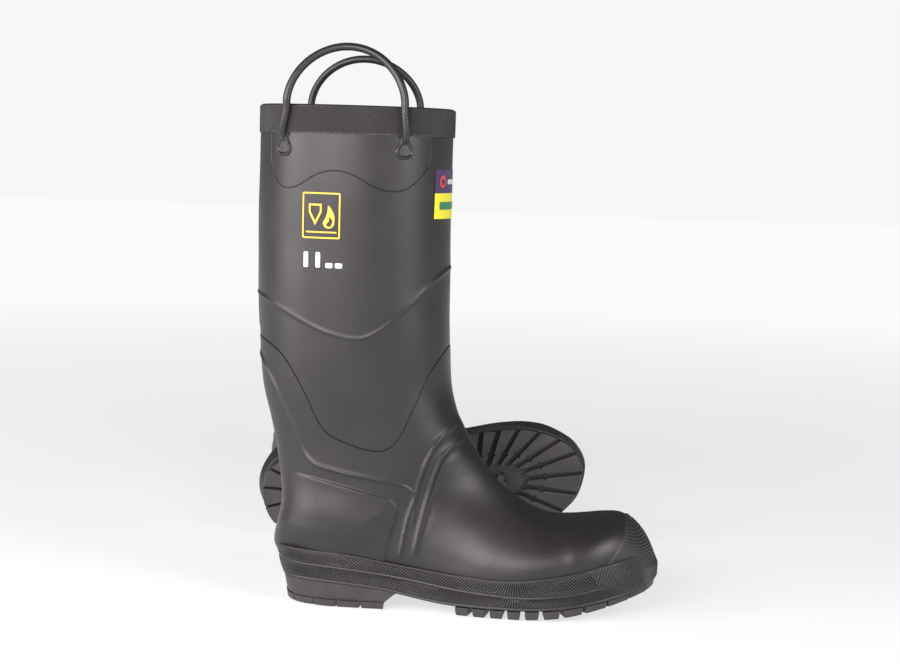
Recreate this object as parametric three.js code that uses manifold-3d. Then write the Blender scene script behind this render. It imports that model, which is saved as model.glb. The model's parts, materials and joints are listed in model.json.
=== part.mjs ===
// A pair of knee-high rubber fire boots: the right boot stands, the left boot lies on its outer side
// behind it with its tread towards the front. Millimetres, +Z up, toes towards +X.
//
// Both boots are one design, drawn as the right boot in its own frame: x runs from the heel to the
// toe, z up from the ground, and the outer (lateral) side is -y. The left boot is its mirror image.
import * as THREE from "three";
import { mergeVertices } from "three/addons/utils/BufferGeometryUtils.js";
import Module from "manifold-3d";

const wasm = await Module();
wasm.setup();

// ---------------------------------------------------------------- driving dimensions
const LEG_TOP = 400; // height of the boot's top edge
const LEG_CENTRE = 53; // x of the leg's centreline
const GAP = 0.3; // between pieces that touch
// Depths of the walls below the outer surface.
const SKIN = { vamp: [0, 3.3], leg: [0.9, 3.3], guard: [3.6, 5.6], lining: [8.7, 10.3] };
const LINING_RISE = 5.1; // how much nearer the surface the lining comes at the top edge
const PATCH_SKIN = [0, 0.6]; // panels laid on the leg
const STRIP_SKIN = [0.2, 0.6]; // the back strip and the label
const BAND = { bottom: 378, proud: 0.8 }; // the knurled band round the top edge
const SOLE = { pad: 5.5, base: 5.2, lug: 6.6 }; // thicknesses under the boot, from the top down
const FOXING = { lower: 3.6, upper: 2.8, bumper: 4.8 }; // how far side strips stand out from the core
const HEEL = { back: 5, breast: 92, lug: 5.5 };
const HANDLE = { radius: 3.3, half: 45, rise: 44, lean: 10, clear: 5, pivot: 402 };
const HANDLE_PAD = { size: [7.5, 10, 5.2], height: 366 }; // half-widths along the leg, up it and through it
const LEFT_BOOT = { behind: 205, across: -60, turn: 5.6, tilt: 4.05 }; // the lying boot's place and angles

// Stations where rings are drawn.
const RINGS = [0, 2.6, 4, 6, 8, 9.6, 11.4, 13.4, 15.4, 17.4, 19, 20.4, 21.5];
const TOE_RING = 22.4; // where the outer surface is closed
const AROUND = 16; // points round each ring

// The boot's outer surface is a row of rings, each in a plane across the boot from a front point to a
// back point (x, z). Down the leg the rings lie flat, round the heel they turn, and over the forefoot
// they stand upright. outer and inner are the half-widths to the two sides, ridge is the sideways
// place of the front and back points, wide is where on the way back the ring is widest, and square
// is how boxy its front and back halves are.
function ring(front, back, outer, inner, ridge, wide, square) {
  return { front, back, outer, inner, ridge, wide, square };
}

const STATIONS = [
  ring([130.5, 400], [-24, 400], 66.5, 66.5, 0, 0.5, [2.15, 2.15]),
  ring([130.5, 340], [-24.2, 340], 65.5, 65.5, 0, 0.5, [2.15, 2.15]),
  ring([131, 280], [-24.3, 280], 63, 63, 0, 0.5, [2.1, 2.1]),
  ring([132.5, 220], [-22.3, 220], 59, 59, 0, 0.5, [2.1, 2.1]),
  ring([135, 181], [-18.5, 178], 54, 54, 0, 0.5, [2.0, 2.1]),
  ring([140.5, 158], [-11.5, 148], 50.5, 50.5, 0, 0.5, [2.0, 2.1]),
  ring([146, 146], [-6.5, 124], 48, 48, 0, 0.5, [2.0, 2.1]),
  ring([151, 136], [-2.5, 100], 46, 46, 0, 0.5, [2.0, 2.2]),
  ring([156, 127.5], [-1.5, 80], 44.5, 44.5, 0, 0.5, [2.0, 2.2]),
  ring([161, 119.5], [-5, 60], 43, 43, 0, 0.52, [2.0, 2.3]),
  ring([166, 112], [-6, 42], 42, 41.5, 0, 0.54, [2.0, 2.4]),
  ring([171, 106], [8, 30.5], 41.5, 40.5, 0, 0.56, [2.0, 2.7]),
  ring([177, 100], [45, 30], 41, 39, 0, 0.6, [2.0, 3.2]),
  ring([184, 94], [85, 27], 42, 38, 0.5, 0.64, [2.0, 3.6]),
  ring([193, 88], [122, 21], 45, 39, 1, 0.67, [2.0, 3.8]),
  ring([205, 81], [157, 18], 50, 42.5, 2, 0.7, [2.0, 3.8]),
  ring([219, 76], [189, 18], 53, 46, 3, 0.7, [2.0, 3.8]),
  ring([234, 74.5], [217, 19], 52.5, 48.5, 4, 0.69, [2.1, 3.6]),
  ring([249, 75.5], [240, 22], 49.5, 48, 5, 0.66, [2.2, 3.4]),
  ring([263, 77], [259, 25.5], 43, 45, 5.5, 0.63, [2.3, 3.2]),
  ring([276, 77], [274, 28.5], 34.5, 39, 6, 0.6, [2.3, 3.0]),
  ring([287, 71], [287, 32], 25, 31.5, 6.5, 0.58, [2.2, 2.8]),
  ring([296.5, 60], [297.5, 35], 13.5, 22.5, 6.5, 0.55, [2.2, 2.4]),
  ring([303, 47], [304, 39], 0, 13, 7, 0.5, [2.0, 2.0]),
];

// Side-view outlines (x, z).
const U_SEAM = [
  [-40, 220], [-14, 213], [4, 202], [21, 176], [36, 147], [54, 135.5],
  [82, 129], [97, 138], [109, 164], [122, 194], [146, 232],
];
const SCALLOP = [
  [-9, 357], [-1, 339], [8, 335.5], [17, 338.5], [31, 347], [45, 350],
  [59, 347], [76, 338], [89, 335], [101, 338], [112, 349.5], [116, 362],
];
const TOE_SEAM = [[250, 30], [259, 44], [270, 60], [277, 71], [279, 84]];

// The sole's core outline from above: half-widths [x, outer, inner] from the heel to the toe.
const SOLE_WIDTHS = [
  [1, 0, 0], [3, 13, 13], [9, 24.5, 24], [20, 33, 32], [38, 37.5, 36.5], [62, 39, 37],
  [90, 39.5, 34.5], [118, 42, 35], [148, 47, 38.5], [178, 51, 44], [205, 52.5, 47], [230, 51.5, 49],
  [252, 46.5, 47.5], [272, 38, 41.5], [287, 27, 33], [297, 14.5, 23.5], [303, -7, 7],
];
// Height of the boot's underside, which every layer below it follows: [x, z].
const UNDERSIDE = [
  [-10, 31], [40, 30.5], [85, 27], [110, 22.5], [135, 18.6], [160, 18],
  [205, 18], [232, 20.3], [260, 25.4], [285, 31.5], [306, 37.5],
];
const TREAD_DROP = SOLE.pad + SOLE.base + SOLE.lug + 2 * GAP; // from the underside to the ground at the ball
const TOE_SPRING = [[235, 0], [262, 1.4], [285, 2.4]]; // how much shorter the lugs get ahead: [x, z]
// Top edge of the side strip, and the line between its two courses: [x, z].
const FOXING_TOP = [
  [-10, 47], [30, 45], [60, 43], [100, 37], [140, 32.5], [185, 30],
  [215, 33], [240, 38.5], [262, 43.5], [285, 49], [310, 52],
];
const FOXING_LINE = [
  [-10, 35], [50, 32], [100, 27], [150, 20], [200, 17], [240, 21], [275, 30], [310, 37],
];

const MATERIALS = {
  rubber: { color: 0x3a3838, roughness: 0.55 },
  knurled_rubber: { color: 0x353334, roughness: 0.7 },
  tread_rubber: { color: 0x3b393a, roughness: 0.75 },
  lining_felt: { color: 0x8d8577, roughness: 0.95 },
  foam: { color: 0x5a5a58, roughness: 0.9 },
  fibre_board: { color: 0x9a8466, roughness: 0.9 },
  steel: { color: 0x8e9296, roughness: 0.4, metalness: 1 },
  label_print: { color: 0xe3d827, roughness: 0.5 },
};

// ---------------------------------------------------------------- small maths
const lerp = (a, b, s) => a + (b - a) * s;
const clamp = (v, low, high) => Math.min(high, Math.max(low, v));

/** Uniform Catmull-Rom value at index t of a list of numbers. */
function through(values, t) {
  const i = clamp(Math.floor(t), 0, values.length - 2);
  const s = t - i;
  const at = (k) => values[clamp(k, 0, values.length - 1)];
  const [a, b, c, d] = [at(i - 1), at(i), at(i + 1), at(i + 2)];
  return b + 0.5 * s * (c - a + s * (2 * a - 5 * b + 4 * c - d + s * (3 * (b - c) + d - a)));
}

/** Straight-line value at x of a list of [x, value]. */
function along(list, x, column = 1) {
  const last = list.length - 1;
  const i = clamp(list.findIndex((row) => row[0] > x), 1, last);
  const k = x >= list[last][0] ? last : i;
  const [a, b] = [list[k - 1], list[k]];
  return lerp(a[column], b[column], clamp((x - a[0]) / (b[0] - a[0]), 0, 1));
}

const station = (t, read) => through(STATIONS.map(read), t);

/** A point of the front or the back line. */
const profile = (end, t) => [0, 1].map((k) => station(t, (r) => r[end][k]));

/** A point of the surface that lies depth below the outer one. turn is 0 at the front, pi at the back. */
function surfacePoint(t, turn, depth = 0) {
  const [c, s] = [Math.cos(turn), Math.sin(turn)];
  const half = c >= 0 ? 0 : 1;
  const [[fx, fz], [bx, bz]] = [profile("front", t), profile("back", t)];
  const [[x0, z0], [x1, z1]] = [-0.1, 0.1].map((d) => profile(half ? "back" : "front", t + d));
  const ridge = station(t, (r) => r.ridge);
  const wide = station(t, (r) => r.wide);
  const power = 2 / station(t, (r) => r.square[half]);
  const across = Math.abs((bx - fx) * (z1 - z0) - (bz - fz) * (x1 - x0));
  const chord = across / Math.hypot(x1 - x0, z1 - z0); // square to the front or back line
  const reach = (half ? 1 - wide : wide) - depth / chord;
  const way = wide - Math.sign(c) * reach * Math.abs(c) ** power;
  const sign = s >= 0 ? 1 : -1;
  const width = station(t, (r) => (s >= 0 ? r.inner : r.outer)) - sign * ridge - depth;
  return [lerp(fx, bx, way), ridge + sign * width * Math.abs(s) ** power, lerp(fz, bz, way)];
}

// ---------------------------------------------------------------- solids
/** A manifold solid from points and faces. Flat polygons are given as lists of point numbers. */
function solidFrom(points, faces) {
  const triangles = faces.flatMap((f) => f.slice(2).map((_, k) => [f[0], f[k + 1], f[k + 2]])).flat();
  const made = new wasm.Manifold(new wasm.Mesh({
    numProp: 3,
    vertProperties: new Float32Array(points.flat()),
    triVerts: new Uint32Array(triangles),
  }));
  if (made.volume() >= 0) return made;
  return solidFrom(points, faces.map((f) => [...f].reverse()));
}

/** A solid from a three.js geometry that is one closed surface. */
function solidOf(geometry) {
  const bare = geometry.index ? geometry.toNonIndexed() : geometry.clone();
  for (const name of ["normal", "uv"]) bare.deleteAttribute(name);
  const merged = mergeVertices(bare, 1e-3);
  return new wasm.Manifold(new wasm.Mesh({
    numProp: 3,
    vertProperties: merged.attributes.position.array,
    triVerts: new Uint32Array(merged.index.array),
  }));
}

/** Loops of equal length joined one to the next into a closed solid, its two ends capped or joined. */
function loft(loops, closed = false) {
  const n = loops[0].length;
  const faces = [];
  const rows = closed ? loops.length : loops.length - 1;
  for (let i = 0; i < rows; i++) {
    const next = ((i + 1) % loops.length) * n;
    for (let j = 0; j < n; j++) {
      const k = (j + 1) % n;
      faces.push([i * n + j, i * n + k, next + k, next + j]);
    }
  }
  if (!closed) {
    faces.push([...Array(n).keys()].reverse());
    faces.push([...Array(n).keys()].map((j) => (loops.length - 1) * n + j));
  }
  return solidFrom(loops.flat(), faces);
}

function ringLoop(t, depth) {
  return [...Array(AROUND).keys()].map((j) => surfacePoint(t, (2 * Math.PI * j) / AROUND, depth));
}
const lastRing = (depth) => TOE_RING - 0.14 * depth; // deeper skins stop a little further back

/** The rings from first to the toe at one depth, less rise at the top edge, as a list of loops. */
function skinLoops(depth, first, rise = 0) {
  const end = lastRing(depth);
  const rings = [...RINGS.filter((t) => t >= first && t < end - 0.2), end];
  return rings.map((t) => ringLoop(t, depth - (t === 0 ? rise : 0)));
}

/** Everything inside the surface at one depth, with no hollow. */
const filled = (depth, first = 0) => loft(skinLoops(depth, first));

/** A skin between two depths, open where its first ring is. */
function skin([outside, inside], first = 0, rise = 0) {
  const out = skinLoops(outside, first, rise);
  const back = skinLoops(inside, first, rise).reverse();
  const toe = out.length;
  const n = AROUND;
  const loops = [...out, ...back];
  const faces = [];
  for (let i = 0; i < loops.length; i++) {
    if (i === toe - 1) continue; // the two toe ends are capped apart, which closes the hollow there
    const next = ((i + 1) % loops.length) * n;
    for (let j = 0; j < n; j++) {
      const k = (j + 1) % n;
      const quad = [i * n + j, i * n + k, next + k, next + j];
      const turned = [quad[3], ...quad.slice(0, 3)];
      faces.push(i < toe ? quad : turned); // both walls are split along the same diagonal
    }
  }
  faces.push([...Array(n).keys()].map((j) => (toe - 1) * n + j));
  faces.push([...Array(n).keys()].map((j) => toe * n + j).reverse());
  return solidFrom(loops.flat(), faces);
}

/** A side-view outline (x, z) pushed out from y = from to y = to. */
function prism(outline, from, to) {
  const shape = new THREE.Shape(outline.map(([x, z]) => new THREE.Vector2(x, z)));
  const geometry = new THREE.ExtrudeGeometry(shape, { depth: to - from, bevelEnabled: false });
  geometry.rotateX(Math.PI / 2); // the outline's second axis becomes z, and depth runs towards -y
  geometry.translate(0, to, 0);
  return solidOf(geometry);
}

function box([x0, y0, z0], [x1, y1, z1]) {
  return prism([[x0, z0], [x1, z0], [x1, z1], [x0, z1]], y0, y1);
}

/** Points of a smooth curve through an outline's corners. */
function smooth(outline, steps) {
  const last = outline.length - 1;
  const at = (t) => [0, 1].map((c) => through(outline.map((p) => p[c]), t));
  return [...Array(steps + 1).keys()].map((k) => at((k * last) / steps));
}

// ---------------------------------------------------------------- the sole's layers
const underside = (x) => along(UNDERSIDE, x);
const SOLE_STEPS = SOLE_WIDTHS.length - 1;

/** The sole's outline moved out by grow, as points in order round it: heel, inner side, toe, outer side. */
function soleOutline(grow) {
  const inner = SOLE_WIDTHS.map(([x, , w]) => [x, w]);
  const outer = SOLE_WIDTHS.map(([x, w]) => [x, -w]).reverse();
  const round = [...inner, ...outer.slice(0, -1)];
  round.splice(SOLE_WIDTHS.length - 1, 1); // the toe's tip is kept once, from the outer side
  return round.map((p, k) => {
    const before = round[(k + round.length - 1) % round.length];
    const after = round[(k + 1) % round.length];
    const [dx, dy] = [after[0] - before[0], after[1] - before[1]];
    const size = Math.hypot(dx, dy);
    return [p[0] - (grow * dy) / size, p[1] + (grow * dx) / size];
  });
}

/** A layer of the sole between two heights, each a function of x, over a stretch of the sole's length. */
function soleLayer(low, high, shrink = 0, [from, to] = [0, 400]) {
  const first = Math.max(from, SOLE_WIDTHS[0][0] + 1.2);
  const last = Math.min(to, SOLE_WIDTHS[SOLE_STEPS][0] - 1.2);
  const stops = SOLE_WIDTHS.map((row) => row[0]).filter((x) => x > from + 2 && x < to - 2);
  const loops = [first, ...stops.filter((x) => x > first + 1 && x < last - 1), last].map((x) => {
    const [outer, inner] = [along(SOLE_WIDTHS, x, 1) - shrink, along(SOLE_WIDTHS, x, 2) - shrink];
    return [[x, -outer, low(x)], [x, inner, low(x)], [x, inner, high(x)], [x, -outer, high(x)]];
  });
  return loft(loops);
}

/** A strip round the sole's edge, from grow 0.3 to grow out, between two heights. */
function sideStrip(out, low, high) {
  const [near, far] = [soleOutline(GAP), soleOutline(out)];
  const loops = near.map((p, k) => {
    const q = far[k];
    return [[...p, low(p[0])], [...q, low(q[0])], [...q, high(q[0])], [...p, high(p[0])]];
  });
  return loft(loops, true);
}

/** One tread lug: a block across the edge of the tread, narrowing at a waist towards the sole's middle. */
function lug(edge, heart, width, top, bottom) {
  const [dx, dy] = [heart[0] - edge[0], heart[1] - edge[1]];
  const size = Math.hypot(dx, dy);
  const cut = [[0, 0.5], [0.68, 0.26], [1, 0.25]]; // how far in, and half the width there
  const side = (sign) => cut.map(([s, w]) => {
    const out = (sign * w * width) / size;
    return [edge[0] + dx * s - out * dy, edge[1] + dy * s + out * dx];
  });
  const flat = [...side(1), ...side(-1).reverse()];
  return loft([flat.map(([x, y]) => [x, y, bottom(x)]), flat.map(([x, y]) => [x, y, top(x)])]);
}

/** A four-petalled stud in the middle of the tread. */
function stud([x0, y0], radius, turn, top, bottom) {
  const flat = [...Array(8).keys()].map((k) => {
    const a = (k * Math.PI) / 4 + turn;
    const r = radius * [1, 0.5][k % 2];
    return [x0 + r * Math.cos(a), y0 + r * Math.sin(a)];
  });
  return loft([flat.map(([x, y]) => [x, y, bottom(x)]), flat.map(([x, y]) => [x, y, top(x)])]);
}

/** Points at equal steps along an open outline of the sole between two fractions of its length. */
function stepsAlong(points, count) {
  const curve = new THREE.CurvePath();
  const corners = points.map((p) => new THREE.Vector2(...p));
  for (let k = 1; k < corners.length; k++) curve.add(new THREE.LineCurve(corners[k - 1], corners[k]));
  return [...Array(count).keys()].map((k) => curve.getPointAt((k + 0.5) / count).toArray());
}

const treadTop = (x) => underside(x) - SOLE.pad - SOLE.base - 2 * GAP + 0.5; // lugs sink 0.5 mm in
const ground = (x) => underside(x) - TREAD_DROP + along(TOE_SPRING, x);

/** The forefoot's edge from the outer side round the toe to the inner side. */
function forefootEdge(shrink, from) {
  const inside = soleOutline(-shrink);
  const toe = inside.slice().sort((a, b) => b[0] - a[0])[0];
  const outer = inside.filter(([x, y]) => x > from && y < toe[1]).sort((a, b) => a[0] - b[0]);
  const inner = inside.filter(([x, y]) => x > from && y > toe[1]).sort((a, b) => b[0] - a[0]);
  return [...outer, toe, ...inner];
}

function forefootTread() {
  const edge = stepsAlong(forefootEdge(1.8, 146), 22);
  const middle = [[160, -14], [225, -15], [246, -11], [256, 2], [248, 15], [225, 18], [160, 16]];
  const heart = stepsAlong(middle, 22);
  const lugs = edge.map((p, k) => lug(p, heart[k], 9.2, treadTop, ground));
  const places = [[178, 2], [199, -5], [203, 11], [226, 1]];
  const studs = places.map((p, k) => stud(p, 8.2, 0.5 + 0.35 * k, treadTop, ground));
  return [...lugs, ...studs];
}

function heelTread() {
  const tucked = ([x, y]) => [x + (HEEL.back - 1) * (1 - x / 88), y]; // the heel's back is tucked in
  const inside = soleOutline(-1).filter(([x]) => x < 88).map(tucked);
  const inner = inside.filter(([, y]) => y >= 0).sort((a, b) => b[0] - a[0]);
  const outer = inside.filter(([, y]) => y < 0).sort((a, b) => a[0] - b[0]);
  const edge = stepsAlong([...inner, ...outer], 11);
  const middle = [[80, 12], [47, 14], [34, 10], [30, 0], [34, -10], [47, -14], [80, -12]];
  const heart = stepsAlong(middle, 11);
  const top = () => HEEL.lug + 0.5;
  const lugs = edge.map((p, k) => lug(p, heart[k], 11, top, () => 0));
  return [...lugs, stud([52, 0], 7.5, 0.4, top, () => 0)];
}

// ---------------------------------------------------------------- the boot's pieces, each a function
const upperBody = filled(-GAP); // what everything outside the boot's skin has to stay clear of

/** The side-view region above the U-shaped seam, raised by lift. */
function aboveSeam(lift) {
  const seam = smooth(U_SEAM, 16).map(([x, z]) => [x, z + lift]);
  return prism([...seam, [160, 430], [-60, 430]], -90, 90);
}
const legShell = () => skin(SKIN.leg).intersect(aboveSeam(GAP));
const vampShell = () => skin(SKIN.vamp, 2.6).subtract(aboveSeam(0));

function toeCover() {
  const ahead = [...smooth(TOE_SEAM, 8), [330, 90], [330, 20], [250, 20]];
  const lifted = skin([-1.5, -GAP], 14.5).intersect(prism(ahead, -80, 80));
  const strip = FOXING_TOP.map(([x, z]) => [x, z + GAP]);
  return lifted.subtract(prism([...strip, [330, 52], [330, 0], [-20, 0]], -90, 90));
}

/** A thin patch of the leg within a side-view outline. */
const sidePatch = (outline, from, to, depths) => skin(depths, 0).intersect(prism(outline, from, to));

function topPanel(side) {
  const outline = [...smooth(SCALLOP, 16), [116, BAND.bottom - GAP], [-9, BAND.bottom - GAP]];
  return sidePatch(outline, side < 0 ? -90 : 12, side < 0 ? -12 : 90, PATCH_SKIN);
}

function backStrip() {
  const top = BAND.bottom - GAP;
  return sidePatch([[-40, 224], [10, 224], [10, top], [-40, top]], -12, 12, STRIP_SKIN);
}

function collarBand() {
  const walls = (z) => [-BAND.proud, SKIN.leg[0] - GAP].map((depth) => ringLoop((LEG_TOP - z) / 60, depth));
  const [lowOut, lowIn] = walls(BAND.bottom);
  const [topOut, topIn] = walls(LEG_TOP - 0.1);
  return loft([lowOut, topOut, topIn, lowIn], true);
}

function frontLabel() {
  return sidePatch([[116.5, 314], [150, 314], [150, 352], [116.5, 352]], -90, 90, STRIP_SKIN);
}

function steelToeCap() {
  const rim = UNDERSIDE.filter(([x]) => x > 220).map(([x, z]) => [x, z + 8.5]).reverse();
  const below = prism([[200, 0], [330, 0], ...rim, [200, 30]], -80, 80);
  return skin(SKIN.guard, 16).intersect(box([228, -80, 0], [330, 80, 120])).subtract(below);
}

function heelCounter() {
  const outline = [[-30, 41], [66, 39], [60, 84], [50, 92], [-30, 98]];
  return skin(SKIN.guard, 4).intersect(prism(outline, -80, 80));
}

function ankleGuard() {
  const outline = [[-40, 112], [50, 100], [86, 112], [92, 150], [70, 176], [-40, 176]];
  return skin(SKIN.guard, 2.6).intersect(prism(outline, -80, 80));
}

function shinGuard() {
  return skin(SKIN.guard).intersect(prism([[104, 190], [160, 184], [160, 300], [104, 300]], -80, 80));
}

/** The lining lies against the rubber at the top of the leg and leaves room for the guards lower down. */
const lining = () => skin(SKIN.lining, 0, LINING_RISE);

/** A layer of the sole's core between two drops below the underside. */
const soleCore = (low, high) => soleLayer((x) => underside(x) - low, (x) => underside(x) - high);
const midsole = () => soleCore(SOLE.pad + GAP, -2).subtract(upperBody);

function outsole() {
  const sheet = soleCore(SOLE.pad + SOLE.base + 2 * GAP, SOLE.pad + 2 * GAP);
  return wasm.Manifold.union([sheet, ...forefootTread()]);
}

function heelBlock() {
  const top = (x) => underside(x) - SOLE.pad - SOLE.base - 3 * GAP;
  const block = soleLayer(() => HEEL.lug, top, 0, [HEEL.back, HEEL.breast]);
  return wasm.Manifold.union([block, ...heelTread()]);
}

/** A flat piece inside the boot that lies over the underside: its heights are counted up from it. */
function innerLayer(low, high, shrink, stretch, depth) {
  const layer = soleLayer((x) => underside(x) + low, (x) => underside(x) + high, shrink, stretch);
  return layer.intersect(filled(depth));
}

function foxing(kind) {
  const line = (x) => along(FOXING_LINE, x);
  const foot = (x) => underside(x) - SOLE.pad - SOLE.base - 2 * GAP + 0.8;
  const strip = kind === "lower"
    ? sideStrip(FOXING.lower, foot, (x) => line(x) - GAP)
    : sideStrip(FOXING.upper, line, (x) => along(FOXING_TOP, x));
  return strip.subtract(upperBody);
}

function toeBumper() {
  const outline = [[252, 10], [330, 10], [330, 60], [272, 60], [262, 40]];
  const low = (x) => underside(x) - SOLE.pad - SOLE.base + 2.5;
  const high = (x) => along(FOXING_TOP, x) - 1;
  const [near, far] = [soleOutline(FOXING.lower + GAP), soleOutline(FOXING.bumper)];
  const loops = near.map((p, k) => {
    const q = far[k];
    return [[...p, low(p[0])], [...q, low(q[0])], [...q, high(q[0])], [...p, high(p[0])]];
  });
  return loft(loops, true).intersect(prism(outline, -90, 90));
}

/** Where a handle's leg stands beside the top edge, and the outward direction there. */
function handleFoot(side, end) {
  const x = LEG_CENTRE + end * HANDLE.half;
  let turn = Math.PI / 2;
  for (let k = 0; k < 40; k++) turn -= (x - surfacePoint(0, turn)[0]) * 0.008;
  const p = surfacePoint(0, turn);
  const q = surfacePoint(0, turn + 0.01);
  const way = new THREE.Vector2(q[0] - p[0], q[1] - p[1]).normalize();
  const sign = Math.sign(way.y * (p[0] - LEG_CENTRE) - way.x * p[1]);
  const out = [way.y * sign, -way.x * sign];
  return {
    at: [p[0] + out[0] * HANDLE.clear, side * (p[1] + out[1] * HANDLE.clear)],
    out: [out[0], side * out[1]],
  };
}

/** A round bar along a list of points. */
function bar(points, radius, steps) {
  const turns = [...Array(8).keys()].map((k) => (k * Math.PI) / 4);
  const corners = turns.map((a) => new THREE.Vector2(radius * Math.cos(a), radius * Math.sin(a)));
  const section = new THREE.Shape(corners);
  const path = new THREE.CatmullRomCurve3(points.map((p) => new THREE.Vector3(...p)));
  return solidOf(new THREE.ExtrudeGeometry(section, { extrudePath: path, steps, bevelEnabled: false }));
}

function ball(centre, [rx, ry, rz], turn = 0) {
  const geometry = new THREE.SphereGeometry(1, 8, 4);
  geometry.rotateX(Math.PI / 2);
  geometry.scale(rx, ry, rz);
  geometry.rotateZ(turn);
  geometry.translate(...centre);
  return solidOf(geometry);
}

/** The arch of a pull handle, from one pivot to the other; it leans a little over the opening. */
function handleArch(side) {
  const [rear, front] = [handleFoot(side, -1).at, handleFoot(side, 1).at];
  const middle = [(rear[0] + front[0]) / 2, (rear[1] + front[1]) / 2];
  const half = (front[0] - rear[0]) / 2;
  const points = [...Array(13).keys()].map((k) => {
    const a = (Math.PI * k) / 12;
    const lean = HANDLE.lean * Math.sin(a) ** 2;
    const height = HANDLE.pivot + HANDLE.rise * Math.sin(a);
    return [middle[0] - half * Math.cos(a), middle[1] - side * lean, height];
  });
  return bar(points, HANDLE.radius, 16);
}

/** A handle's foot: the flat pad bonded to the panel and the stub of leg that rises past the band. */
function handlePad(side, end) {
  const { at, out } = handleFoot(side, end);
  const sunk = [at[0] - out[0] * HANDLE.clear, at[1] - out[1] * HANDLE.clear];
  const [w, h, d] = HANDLE_PAD.size;
  const pad = ball([...sunk, HANDLE_PAD.height], [d, w, h], Math.atan2(out[1], out[0]));
  const start = [sunk[0] + out[0] * 3, sunk[1] + out[1] * 3, HANDLE_PAD.height];
  const stub = bar([start, [...at, 379], [...at, HANDLE.pivot - HANDLE.radius - 0.5]], HANDLE.radius, 3);
  return wasm.Manifold.union([pad, stub]).subtract(upperBody);
}

// ---------------------------------------------------------------- the scene graph
/** Every piece of one boot: [name, material, solid]. */
function bootPieces() {
  const pads = [-1, 1].flatMap((side) => [-1, 1].map((end) => {
    const place = `${side < 0 ? "outer" : "inner"}_${end < 0 ? "rear" : "front"}`;
    return [`handle_foot_${place}`, "rubber", handlePad(side, end)];
  }));
  return [
    ["leg_shell", "rubber", legShell()],
    ["vamp_shell", "rubber", vampShell()],
    ["collar_band", "knurled_rubber", collarBand()],
    ["top_panel_outer", "rubber", topPanel(-1)],
    ["top_panel_inner", "rubber", topPanel(1)],
    ["back_strip", "rubber", backStrip()],
    ["handle_outer", "rubber", handleArch(-1)],
    ["handle_inner", "rubber", handleArch(1)],
    ...pads,
    ["toe_cover", "knurled_rubber", toeCover()],
    ["toe_bumper", "knurled_rubber", toeBumper()],
    ["foxing_upper", "knurled_rubber", foxing("upper")],
    ["foxing_lower", "knurled_rubber", foxing("lower")],
    ["midsole", "tread_rubber", midsole()],
    ["outsole", "tread_rubber", outsole()],
    ["heel_block", "tread_rubber", heelBlock()],
    ["lining", "lining_felt", lining()],
    ["steel_toe_cap", "steel", steelToeCap()],
    ["heel_counter", "foam", heelCounter()],
    ["ankle_guard", "foam", ankleGuard()],
    ["shin_guard", "foam", shinGuard()],
    ["shank", "steel", innerLayer(3.9, 5, 26, [40, 125], 3.6)],
    ["steel_midsole", "steel", innerLayer(5.3, 5.9, 12, [18, 280], 3.6)],
    ["insole_board", "fibre_board", innerLayer(6.2, 7.5, 12, [18, 280], 3.6)],
    ["footbed", "foam", innerLayer(10.5, 15.2, 12.5, [20, 280], 10.6)],
    ["front_label", "label_print", frontLabel()],
  ];
}

function meshOf(name, slot, solid) {
  const { vertProperties, triVerts } = solid.getMesh();
  const geometry = new THREE.BufferGeometry();
  geometry.setAttribute("position", new THREE.BufferAttribute(vertProperties, 3));
  geometry.setIndex(new THREE.BufferAttribute(triVerts, 1));
  const mesh = new THREE.Mesh(geometry, new THREE.MeshStandardMaterial({ name: slot, ...MATERIALS[slot] }));
  mesh.name = name;
  return mesh;
}

const pieces = bootPieces();

function bootNamed(prefix) {
  const meshes = pieces.map(([name, slot, solid]) => meshOf(`${prefix}_${name}`, slot, solid));
  return new THREE.Group().add(...meshes);
}

const rightBoot = bootNamed("right");

const mirrored = bootNamed("left");
mirrored.scale.y = -1;
mirrored.rotation.z = THREE.MathUtils.degToRad(-LEFT_BOOT.turn); // heel and ball edges level with each other
const leftBoot = new THREE.Group().add(mirrored);
leftBoot.rotation.x = THREE.MathUtils.degToRad(LEFT_BOOT.tilt - 90); // over on its outer side
leftBoot.position.set(LEFT_BOOT.across, LEFT_BOOT.behind, 0);
leftBoot.updateMatrixWorld(true);
leftBoot.position.z -= new THREE.Box3().setFromObject(leftBoot, true).min.z;

const pair = new THREE.Group().add(rightBoot, leftBoot);
pair.updateMatrixWorld(true);
const extent = new THREE.Box3().setFromObject(pair, true);
const middle = extent.getCenter(new THREE.Vector3());
pair.position.set(-middle.x, -middle.y, -extent.min.z); // the origin is under the middle of the pair

export default pair;
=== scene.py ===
"""A pair of knee-high rubber fire boots: the right one stands, the left one lies behind it on its side.

Both boots are one design, drawn in the boot's own frame in millimetres: x from the heel to the toe,
z up from the tread, the outer side at -y. Each piece is then placed as the right and the left boot.
"""

import math

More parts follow.
